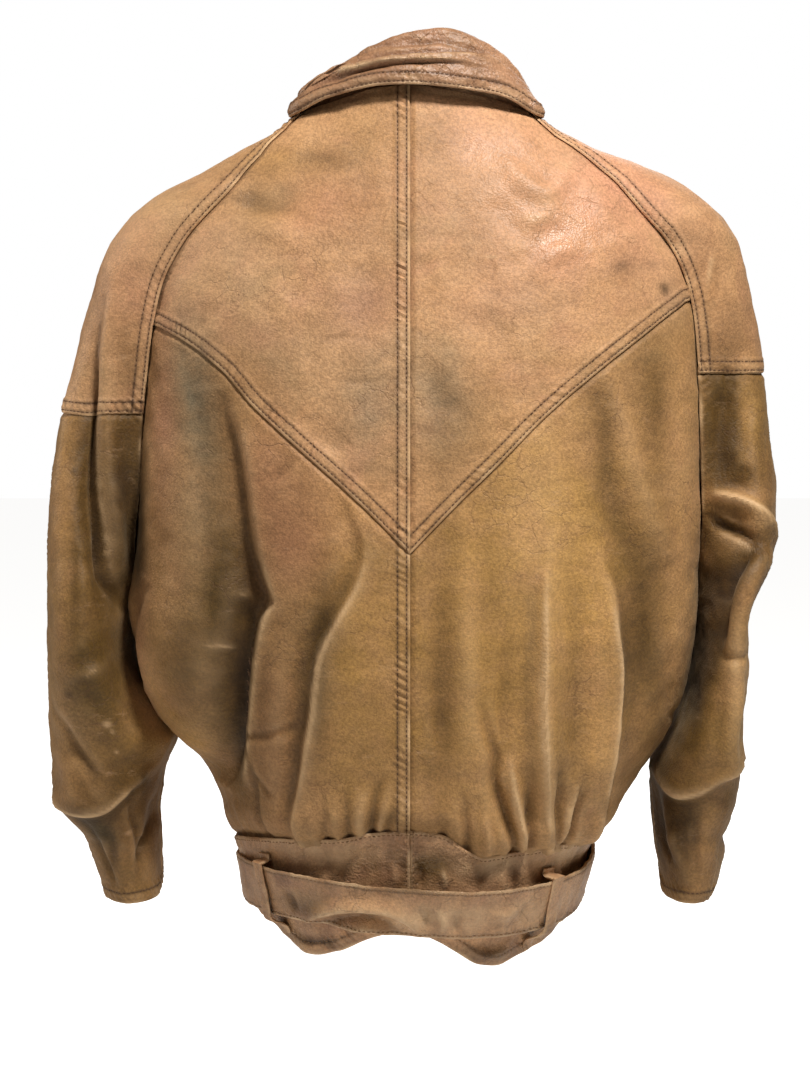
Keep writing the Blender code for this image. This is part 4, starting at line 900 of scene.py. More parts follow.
def front(side, word):
    angle, z = neck_start(side, "front")
    outer = side_line(side, "front", z, read(WAIST, "z", side * 90.0))
    ends = [zip_edge(side, read(seam, "z", side * 180.0)) for seam in (NECK, WAIST)]
    top = seam_line(NECK, angle, ends[0])
    waist = seam_line(WAIST, side * 90, ends[1])
    top[0], outer[-1] = outer[0], waist[0]
    z = np.linspace(top[-1, 1], waist[-1, 1], 90)
    middle = line_of(zip_edge(side, z), z)
    return torso_panel(f"front_{word}", top, waist, outer, middle, COARSE_FRONT,
                       ("under_collar", "under_gathered", "under", "hem"), 300 + side)


def sleeve_panel(name, side, grid, edges, seed):
    """A panel on the sleeve; the columns of grid run from the back round to the front."""
    if side == LEFT:
        grid = grid[:, ::-1]
        swap = {"first": "last", "last": "first"}
        edges = {swap.get(edge, edge): kind for edge, kind in edges.items()}
    panel = on_form(name, partial(sleeve, side), grid, STEP_T, side, edges, seed)
    shape_sleeve(panel, side)
    return panel


def sleeve_cap(side, word):
    v = stations(neck_start(side, "back")[1] - CAP_SEAM[side], COARSE_BACK)[:, None]
    u = stations(0.27, COARSE_BACK)[None]
    back_z, front_z = (top + (CAP_SEAM[side] - top) * v for top in
                       (neck_start(side, face)[1] for face in ("back", "front")))
    z = back_z * (1 - u) + front_z * u + 0.010 * np.sin(math.pi * u) * (1 - v)
    edges = {"top": "under_collar", "bottom": "over", "first": "over", "last": "over"}
    return sleeve_panel(f"sleeve_cap_{word}", side, line_of(u, z), edges, 400 + side)


def outer_seam_t(side, z):
    """The outer seam's t, from the cap's seam to the slit at the cuff."""
    blend = smooth((CAP_SEAM[side] - z) / 0.12)
    return 4 / 9 + (sleeve_t(side, OUTER_SEAM[side], z) - 4 / 9) * blend


def sleeve_lower(side, half, word):
    """Half of the lower sleeve, from the armhole round to the outer seam."""
    coarse = COARSE_BACK if half == "back" else COARSE_FRONT
    z = CAP_SEAM[side] + (CUFF[side] - CAP_SEAM[side]) * stations(0.41, coarse)[:, None]
    seam = outer_seam_t(side, z)
    apart = 0.5 * SLIT_OPEN * np.clip((SLIT_TOP - z) / (SLIT_TOP - z[-1]), 0, 1)
    share = stations(0.19, coarse)[None]
    edges = {"top": "under", "bottom": "hem", "first": "over_plain", "last": "over_plain"}
    if half == "back":
        t, seed = share * (seam - apart), 500
    else:
        t, seed = (seam + apart) + share * (1 - seam - apart), 600
        edges["first"] = "plain"
    return sleeve_panel(f"sleeve_{half}_{word}", side, line_of(t, z), edges, seed + side)


def waistband(side, half, word):
    """One half of the waistband on one side."""
    back = half == "back"
    inner, outer = (0, 90) if back else (90, abs(zip_edge(1, -0.62)))
    top, bottom = (seam_line(seam, side * inner, side * outer) for seam in (WAIST, HEM))
    sides = [down_line(side * angle, top[end, 1], read(HEM, "z", side * angle))
             for angle, end in ((inner, 0), (outer, -1))]
    kinds = ("over_plain", "hem", "over_plain", "plain") if back else ("over_plain", "hem", "plain", "hem")
    return torso_panel(f"waistband_{half}_{word}", top, bottom, *sides,
                       COARSE_BACK if back else COARSE_FRONT, kinds, 700 + side)


# ---- shaping
def back_share(normals):
    """1 where a surface faces back, 0 where it faces the front."""
    return smooth(0.5 - normals[..., 1] / 0.5)


def seam_fade(points, side):
    """0 on the armhole seam and 1 from 25 mm away, so that both sides still meet."""
    z = np.linspace(0.014, UNDERARM, 80)
    loop = np.concatenate([armhole(side, "back", z), armhole(side, "front", z)])
    square = (loop ** 2).sum(axis=1)[None] - 2 * points @ loop.T
    near = np.sqrt(np.maximum(square.min(axis=1) + (points ** 2).sum(axis=1), 0))
    return smooth(near / 0.025)


def gathered(panel, seed):
    """Above the waistband the leather is gathered, and puffs out over it."""
    above = panel.z - read(WAIST, "z", panel.around)
    run = np.radians(panel.around) * 0.14
    wide = uneven(run, seed, 0.09)
    puff = (4.2 + 1.4 * wide) * MM * np.exp(-((above - 0.017) / 0.014) ** 2)
    phase = 2 * math.pi * run / 0.0125 + 2.6 * uneven(run, seed + 1, 0.06)
    pleat = np.sin(phase) * (0.55 + 0.4 * uneven(run, seed + 2, 0.05)) * MM
    return (puff + pleat * np.exp(-np.maximum(above, 0) / 0.022)) * (above > -0.01)


def shape_torso(panel):
    places, points = panel.places(), panel.base.reshape(-1, 3)
    back = back_share(panel.normals).reshape(-1)
    band = panel.name.startswith("waistband")
    height = back * lift(places, BAND_FOLDS if band else BACK_FOLDS)
    if not band:
        height += (1 - back) * lift(places, FRONT_FOLDS)
    height *= seam_fade(points, LEFT) * seam_fade(points, RIGHT)
    height += ripples(points, (0.75, 0.075, 5), (0.28, 0.028, 6))
    if band:
        height += ripples(points * np.array([1, 1, 0.35]), (0.5, 0.016, 7))
    else:
        height += ripples(points, (0.10, 0.011, 8))
    if panel.name.startswith(("back_lower", "front")):
        panel.height += gathered(panel, 40)
    panel.folded(height)


NARROWING = {LEFT: 0.19, RIGHT: 0.10}     # share of its width that a cuff loses
NARROWS_FROM = -0.553     # and the height where that starts
CUFF_MIDDLE = 0.197
ELBOW = -0.392            # where the right sleeve bends in, and by how much
ELBOW_BEND = 0.009


def drawn_in(panel, side):
    """The cuffs narrow towards their ends, and the right elbow bends inward."""
    x, z = panel.base[..., 0], panel.base[..., 2]
    low = smooth((NARROWS_FROM - z) / 0.034)
    panel.points[..., 0] += (side * CUFF_MIDDLE - panel.points[..., 0]) * NARROWING[side] * low
    if side == RIGHT:
        panel.points[..., 0] -= ELBOW_BEND * smooth((x - 0.235) / 0.045) * bump(z - ELBOW, 0.034)


def shape_sleeve(panel, side):
    places, points = panel.places(), panel.base.reshape(-1, 3)
    back = back_share(panel.normals)
    share = back.reshape(-1)
    height = (share * lift(places, SLEEVE_BACK_FOLDS[side])
              + (1 - share) * lift(places, SLEEVE_FRONT_FOLDS[side]))
    height *= seam_fade(points, side)
    clear_of_body = smooth((side * points[:, 0] - 0.236) / 0.02)
    below = smooth((UNDERARM + 0.02 - points[:, 2]) / 0.04)
    above_hips = smooth((points[:, 2] + 0.56) / 0.05)
    height *= 1 - below * (1 - clear_of_body) * above_hips
    panel.folded(height + ripples(points, (0.75, 0.075, 5), (0.30, 0.028, 6), (0.10, 0.011, 8)))
    low = smooth((-0.565 - panel.base[..., 2]) / 0.07)
    panel.points[..., 2] += 0.012 * low * (1 - back)
    drawn_in(panel, side)


# ---- meshes
def placed(name, data):
    """An object with some data, in the scene."""
    made = bpy.data.objects.new(name, data)
    bpy.context.scene.collection.objects.link(made)
    return made


def linked(name, vertices, faces, materials, indices=None, sharp=50):
    mesh = bpy.data.meshes.new(name)
    mesh.from_pydata([tuple(v) for v in vertices], [], faces)
    for material in materials:
        mesh.materials.append(material)
    if indices is not None:
        mesh.polygons.foreach_set("material_index", indices)
    mesh.update()
    mesh.shade_smooth()
    mesh.set_sharp_from_angle(angle=math.radians(sharp))
    return placed(name, mesh)


def every_other(count):
    return np.unique(np.append(np.arange(0, count, 2), count - 1))


def rim_of(rows, columns):
    """Row and column of each point round a grid's rim."""
    return ([(0, j) for j in range(columns)] + [(i, columns - 1) for i in range(1, rows)]
            + [(rows - 1, j) for j in range(columns - 2, -1, -1)]
            + [(i, 0) for i in range(rows - 2, 0, -1)])


def quads_of(number, back=False):
    a, b, c, d = number[:-1, :-1], number[1:, :-1], number[1:, 1:], number[:-1, 1:]
    quads = np.stack([a, d, c, b] if back else [a, b, c, d], axis=-1).reshape(-1, 4)
    return [tuple(quad) for quad in quads.tolist()]


def shell(name, points, wall, outside, inside, marks, normals):
    """A closed shell of leather: a fine outer face and a coarser inner one."""
    rows, columns = points.shape[:2]
    i, j = every_other(rows), every_other(columns)
    inner = (points - normals * wall)[np.ix_(i, j)]
    number = np.arange(rows * columns).reshape(rows, columns)
    inner_number = rows * columns + np.arange(len(i) * len(j)).reshape(len(i), len(j))
    faces = quads_of(number)
    kinds = [0] * len(faces)
    faces += quads_of(inner_number, back=True)
    kinds += [1] * (len(faces) - len(kinds))
    twin = {(int(a), int(b)): int(inner_number[m, n])
            for m, a in enumerate(i) for n, b in enumerate(j)}
    rim = rim_of(rows, columns)
    held = twin[rim[0]]
    for here, there in zip(rim, rim[1:] + rim[:1]):
        a, b = int(number[here]), int(number[there])
        faces.append((a, b, twin[there], held) if there in twin else (a, b, held))
        held = twin.get(there, held)
    kinds += [0] * (len(faces) - len(kinds))
    vertices = np.concatenate([points.reshape(-1, 3), inner.reshape(-1, 3)])
    piece = linked(name, vertices, faces, (outside, inside), kinds)
    for mark_name, values in marks.items():
        layer = piece.data.attributes.new(mark_name, "FLOAT", "POINT")
        whole = np.concatenate([values.reshape(-1), values[np.ix_(i, j)].reshape(-1)])
        layer.data.foreach_set("value", np.clip(whole, 0, 1).astype(np.float32))
    return piece


def even_steps(places, normals, pitch):
    """Places a pitch apart along a row, with their normals and directions."""
    run = run_of(places)
    at = np.arange(0.4 * pitch, run[-1] - 0.4 * pitch, pitch)

    def read_off(rows, where):
        return np.stack([np.interp(where, run, rows[:, k]) for k in range(3)], axis=-1)

    ahead = read_off(places, at + 0.001) - read_off(places, at - 0.001)
    return read_off(places, at), unit(read_off(normals, at)), unit(ahead)


PITCH = 0.0037
STITCH_HALF = 0.00135
THREAD = 0.0005


def bar_faces(levels, corners, flip=False):
    """Faces of a closed bar made of rings of corners, one after another, with both ends."""
    last = corners * (levels - 1)
    faces = [(k + i, k + (i + 1) % corners, k + corners + (i + 1) % corners, k + corners + i)
             for k in range(0, last, corners) for i in range(corners)]
    faces += [tuple(range(corners))[::-1], tuple(range(last, last + corners))]
    return [face[::-1] for face in faces] if flip else faces


def stitches(name, rows, material):
    """Every stitch of some rows as one mesh of small rounded bars, sunk at their ends."""
    template = np.array([
        (share * STITCH_HALF, math.cos(turn) * size * THREAD, (math.sin(turn) * size - sunk) * THREAD)
        for share, size, sunk in ((-1, 0.35, 0.9), (-0.6, 1, 0.15), (0.6, 1, 0.15), (1, 0.35, 0.9))
        for turn in np.arange(5) * 2 * math.pi / 5])
    bar = bar_faces(4, 5)
    vertices, faces = [], []
    for places, normals in rows:
        if len(places) < 3:
            continue
        place, normal, ahead = even_steps(places, normals, PITCH)
        for p, n, a, w in zip(place, normal, ahead, np.cross(normal, ahead)):
            start = len(vertices) * len(template)
            vertices.append(p + template[:, :1] * a + template[:, 1:2] * w + template[:, 2:] * n)
            faces += [tuple(start + k for k in face) for face in bar]
    return linked(name, np.concatenate(vertices), faces, (material,))


# ---- the collar
# By the share of the neck seam from the centre back, 0, to the front, -1 or 1: how far
# the roll rises above the seam and stands out from it, and the same for the free edge.
COLLAR = table("around rise lean edge_rise edge_out", """
-1 0.026 0.004 -0.024 0.018
-0.8 0.024 0 -0.012 0.014
-0.6 0.022 -0.006 -0.002 0.006
-0.45 0.022 -0.008 -0.001 0.003
-0.33 0.022 -0.007 0 0.004
-0.2 0.028 -0.006 0.005 0.01
-0.1 0.039 -0.005 0.005 0.012
0 0.046 -0.005 0.004 0.013
0.1 0.053 -0.005 0.005 0.013
0.2 0.047 -0.007 0.006 0.011
0.33 0.026 -0.013 0 0.003
0.45 0.016 -0.013 -0.001 0.001
0.6 0.018 -0.009 -0.002 0.004
0.8 0.024 0 -0.012 0.014
1 0.026 0.004 -0.024 0.018
""")
COLLAR_COLUMNS = 260
COLLAR_END = 0.93
ROLL = 0.0055
STAND_FOOT = -0.003
STAND_INSET = 0.0024
COLLAR_FOLDS = folds("""
# the roll laps over the band below it, and is creased along its top
1.6 10: -86 12 0, -76 20 1.6, -60 28 2.6, -40 33 3, -13 37.5 3, 18 39 2.4, 47 38 1.4, 70 32 0;
1.2 1.2: -80 16 0, -60 26 -1.2, -40 31 -1.5, -13 35.5 -1.5, 18 37 -1.2, 44 36 0;
1.6 3.4: -47 34.5 0, -34 39 -2, -8 43 -2.8, 23 45.5 -2.8, 47 47 -2, 62 45 0;
3 3: -30 46 0, -8 51 -1.4, 20 54 -1.8, 44 53 0;
2 3: 16 48 0, 34 51 -1.3, 56 49 0;
2 2: 30 44 0, 44 41 -0.9, 58 35 0;
3 3: -66 18 0, -56 24 -0.8, -44 27 0;
3 3: 58 24 0, 68 20 -0.8, 80 11 0;
2.4 2.4: -58 32 0, -48 41 -1, -34 46 0;
""")


def neck_line(panels):
    """Points along the neck seam, from the tops of the panels that meet there."""
    around = np.linspace(-COLLAR_END, COLLAR_END, COLLAR_COLUMNS + 1)
    points = np.zeros((len(around), 3))
    for side, word in SIDES:
        rows = []
        for name in ("back_yoke", "sleeve_cap", "front"):
            panel = panels[f"{name}_{word}"]
            rows.append(panel.base[panel.core][0][::side])
        line = np.concatenate([rows[0], rows[1][1:], rows[2][1:]])
        share = run_of(line) / run_of(line)[-1]
        here = side * around >= 0
        for k in range(3):
            points[here, k] = np.interp(np.abs(around[here]), share, line[:, k])
    kernel = np.hanning(15) / np.hanning(15).sum()
    ends = np.pad(points, ((7, 7), (0, 0)), mode="reflect", reflect_type="odd")
    return around, np.stack([np.convolve(ends[:, k], kernel, mode="valid") for k in range(3)], axis=-1)


def collar_points(part, shares, around, seam):
    """The collar: its stand rises to the roll and its fall drops from it."""
    up = np.array([0, 0, 1.0])
    out = unit(np.cross(unit(np.gradient(seam, axis=0) * (1, 1, 0)), up))
    rise, lean, edge_rise, edge_out = (
        column[:, None] for column in reads(COLLAR, "rise lean edge_rise edge_out", around))
    roll = seam + up * rise + out * lean
    edge = seam + out * edge_out + up * edge_rise
    foot = seam + up * STAND_FOOT - out * STAND_INSET
    inside = roll - out * ROLL - up * ROLL
    outside = roll + out * ROLL - up * ROLL
    rows = []
    for share in shares:
        turn = math.pi * share / 0.4
        drop = (share - 0.4) / 0.6
        if part == "stand":
            rows.append(foot + (inside - foot) * share)
        elif share < 0.4:
            rows.append(roll - up * ROLL + (up * math.sin(turn) - out * math.cos(turn)) * ROLL)
        else:
            bow = out * (0.004 * math.sin(math.pi * drop))
            rows.append(outside + (edge - outside) * drop + bow)
    return np.array(rows)


def collar(panels):
    around, seam = neck_line(panels)
    shares = np.concatenate([np.linspace(0.03, 0.4, 18), np.linspace(0.4, 1, 46)[1:]])
    base = collar_points("fall", shares, around, seam)
    edges = {"bottom": "over", "first": "over_plain", "last": "over_plain"}
    fall = Panel("collar_fall", base, outward(base), edges, 800)
    points = base.reshape(-1, 3)
    fall_share = np.repeat(smooth((shares - 0.1) / 0.15), base.shape[1])
    back = back_share(fall.normals).reshape(-1) * (points[:, 1] < 0)
    height = back * fall_share * lift(fall.places(), COLLAR_FOLDS)
    height += ripples(points * np.array([0.45, 0.45, 1]), (0.38, 0.011, 21), (0.16, 0.005, 22))
    fall.folded(height + ripples(points, (0.5, 0.05, 23)))
    base = collar_points("stand", np.linspace(1, 0, 14), around, seam)
    stand = Panel("collar_stand", base, outward(base), {"bottom": "plain"}, 820)
    stand.height += ripples(base * np.array([0.5, 0.5, 1]), (0.25, 0.012, 24))
    stand.finish()
    return fall, stand


# ---- the belt
BELT_WIDTH = 0.040
BELT_COLUMNS = 560
BELT_ROWS = 30
# How far the strap's inner face is off the waistband at its middle, that middle's
# height, and how much further out its top edge stands than its lower edge.
BELT = table("angle off z tilt", """
-218 0.0066 -0.622 0
-186 0.0066 -0.622 0
-176 0.0066 -0.622 0
-164 0.0034 -0.622 0
-145 0.003 -0.622 0.003
-120 0.002 -0.621 0.006
-90 0.0014 -0.617 0.006
-60 0.003 -0.612 0.009
-40 0.009 -0.611 0.013
0 0.015 -0.617 0.014
25 0.014 -0.621 0.014
50 0.007 -0.62 0.012
90 0.0014 -0.612 0.01
120 0.002 -0.619 0.007
145 0.0034 -0.622 0.003
164 0.0034 -0.622 0
179 0.0034 -0.622 0
""")
BELT_FOLDS = folds("""
3 7: -84 -632 0, -70 -622 3, -52 -615 4.2, -34 -613 4.2, -15 -616 3.4, 0 -626 2, 10 -638 0;
4 3: -80 -638 0, -62 -628 -2.2, -42 -622 -3, -22 -624 -2.6, -6 -634 0;
3 3: -58 -640 0, -40 -632 1.8, -22 -634 1.2, -12 -642 0;
4 4: 8 -610 0, 12 -622 -2.2, 9 -634 0;
3 4: 22 -612 0, 25 -625 1.8, 22 -637 0;
4 3: 38 -615 0, 36 -628 -1.8, 40 -640 0;
5 5: 60 -618 0, 72 -622 1.4, 90 -618 0;
3 3: -98 -604 0, -92 -616 -2, -88 -626 0;
2 3: 92 -612 0, 88 -624 -1.4, 92 -636 0;
""")
BAND_FOLDS = folds("""
4 4: -40 -580 0, -36 -592 -0.9, -38 -606 0;
3 4: -16 -578 0, -12 -592 1.4, -16 -606 0;
3 3: 6 -578 0, 9 -592 -1, 6 -606 0;
4 3: 22 -580 0, 27 -594 1.6, 24 -610 0;
4 4: 42 -588 0, 46 -600 -0.9, 42 -614 0;
5 5: 70 -592 0, 76 -606 1.4, 72 -620 0;
5 5: -72 -584 0, -68 -598 1.2, -74 -612 0;
4 5: -96 -640 0, -78 -650 -1.6, -56 -646 0;
5 4: 40 -650 0, 62 -658 1.6, 84 -648 0;
""")


def belt_points(angles, rows, extra=0.0):
    """The strap's outer face, moved out from it by extra."""
    wrapped = (angles + 180) % 360 - 180
    off, level, tilt = reads(BELT, "off z tilt", angles)
    share = np.linspace(0.5, -0.5, rows)[:, None]
    step = torso(wrapped + STEP_DEG, level) - torso(wrapped - STEP_DEG, level)
    out = unit(np.cross(unit(step), np.array([0, 0, 1.0])))
    reach = (off + STRAP_WALL + extra)[None] + share * tilt[None]
    grid = torso(wrapped, level)[None] + out[None] * reach[..., None]
    grid[..., 2] = level[None] + share * BELT_WIDTH
    return grid


def belt():
    base = belt_points(np.linspace(*BELT["angle"][[0, -1]], BELT_COLUMNS), BELT_ROWS)
    strap = Panel("belt", base, outward(base), {edge: "strap" for edge in EDGES}, 840)
    points = base.reshape(-1, 3)
    back = back_share(strap.normals).reshape(-1)
    loose = smooth((0.09 - points[:, 1]) / 0.05)
    height = back * lift(strap.places(), BELT_FOLDS)
    height += loose * ripples(points * np.array([1, 1, 0.4]), (0.45, 0.022, 31))
    strap.folded(height + ripples(points * np.array([1, 1, 0.5]), (0.12, 0.008, 32)))
    return strap


LOOP_WIDTH = 0.012
LOOP_FOOT = 0.004
LOOP_EASE = 0.0018
LOOP_LIFT = 0.0011
BAND_RADIUS = 0.14
LOOPS = table("angle top bottom", """
-142 -0.592 -0.652
-50 -0.582 -0.646
45 -0.592 -0.656
124 -0.592 -0.649
""")
LOOP_NAMES = ("loop_front_left", "loop_back_left", "loop_back_right", "loop_front_right")


def off_torso(angles, z, distance):
    """Points of the torso moved straight out of it."""
    return torso(angles, z) + form_normal(torso, angles, z, STEP_DEG) * distance


def loop(name, angle, top, bottom):
    """A strap sewn to the waistband above and below the belt, and passing over it."""
    half = math.degrees(LOOP_WIDTH / 2 / BAND_RADIUS)
    angles = np.linspace(angle - half, angle + half, 11)
    over = belt_points(angles, 5, LEATHER + LOOP_EASE)
    bend = np.array([0, 0, 0.003])
    levels = (top, top - LOOP_FOOT, bottom + LOOP_FOOT, bottom)
    feet = [off_torso(angles, np.full(11, z), LEATHER + LOOP_LIFT) for z in levels]
    rows = np.array(feet[:2] + [over[0] + bend, over[2], over[4] - bend] + feet[2:])
    run = run_of(rows[:, 5])
    at = np.linspace(0, run[-1], 54)
    base = np.stack([[smooth_row(run, rows[:, j, k], at) for j in range(11)]
                     for k in range(3)], axis=-1).swapaxes(0, 1)
    strap = Panel(name, base, outward(base), {"first": "edge", "last": "edge"}, 860)
    strap.height += ripples(base, (0.18, 0.009, 41))
    strap.finish()
    return strap


def smooth_row(run, values, at):
    """Values between stations, on a curve through them with no overshoot."""
    return read({"at": run, "value": values}, "value", at)


def cuff_flap(side, word):
    """The underlap behind the slit of a cuff."""
    z = np.linspace(SLIT_TOP + 0.004, CUFF[side] + 0.001, 30)[:, None]
    t = outer_seam_t(side, z) + side * np.linspace(-0.075, 0.075, 17)[None]
    z = np.broadcast_to(z, t.shape)
    normals = form_normal(partial(sleeve, side), t, z, STEP_T) * side
    base = sleeve(side, t, z) - normals * (LEATHER + 0.0012)
    flap = Panel(f"cuff_flap_{word}", base, normals, {"bottom": "edge"}, 880 + side)
    flap.finish()
    drawn_in(flap, side)
    return flap


# ---- the zip's teeth
TAPE_GAP = 0.0009
TAPE_WALL = 0.0008
CHAIN_WALL = 0.0024
ZIP_TOP = -0.083
ZIP_FOOT = -0.650
SLIDER_LENGTH = 0.0135
SLIDER_GAP = 0.0004
TOOTH_PITCH = 0.0021
TOOTH_HALF = 0.00045              # half of a tooth's height
TOOTH_REACH = (-0.0009, 0.0028)   # from the zip's middle, towards the tooth's own side
CORD_REACH = (0.0002, 0.0039)


def oblong(near, far, half):
    return (near, -half), (far, -half), (far, half), (near, half)


def zip_bars(bars, depth):
    """Vertices and faces of bars down the front: each has a side, the heights of its rings
    with the height whose depth each one takes, and its corners about the zip's middle."""
    vertices, faces = [], []
    for way, heights, ring in bars:
        start = len(vertices)
        for held, z in heights:
            middle = torso(180.0, held) * (1, 1, 0) + np.array([0, -depth, z])
            vertices += [middle + (way * x, y, 0) for x, y in ring]
        faces += [tuple(start + k for k in face)
                  for face in bar_faces(len(heights), len(ring), way > 0)]
    return vertices, faces


def zip_teeth(brass, tape):
    """Two rows of interlocked metal teeth down the front, on their tapes' corded edges."""
    levels = np.arange(ZIP_TOP - SLIDER_LENGTH - SLIDER_GAP - 0.0008, ZIP_FOOT, -TOOTH_PITCH / 2)
    depth = LEATHER + TAPE_GAP + TAPE_WALL / 2
    tooth = oblong(*TOOTH_REACH, CHAIN_WALL / 2)
    cord = oblong(*CORD_REACH, TAPE_WALL / 4)
    teeth, teeth_faces = zip_bars([
        (1 if number % 2 else -1, ((z, z + TOOTH_HALF), (z, z - TOOTH_HALF)), tooth)
        for number, z in enumerate(levels)], depth)
    heights = [(z, z) for z in np.linspace(levels[0], ZIP_FOOT, 90)]
    cords, cord_faces = zip_bars([(1, heights, cord), (-1, heights, cord)], depth)
    faces = teeth_faces + [tuple(len(teeth) + k for k in face) for face in cord_faces]
    kinds = [0] * len(teeth_faces) + [1] * len(cord_faces)
    return linked("zip_chain_teeth", teeth + cords, faces, (brass, tape), kinds, sharp=20)
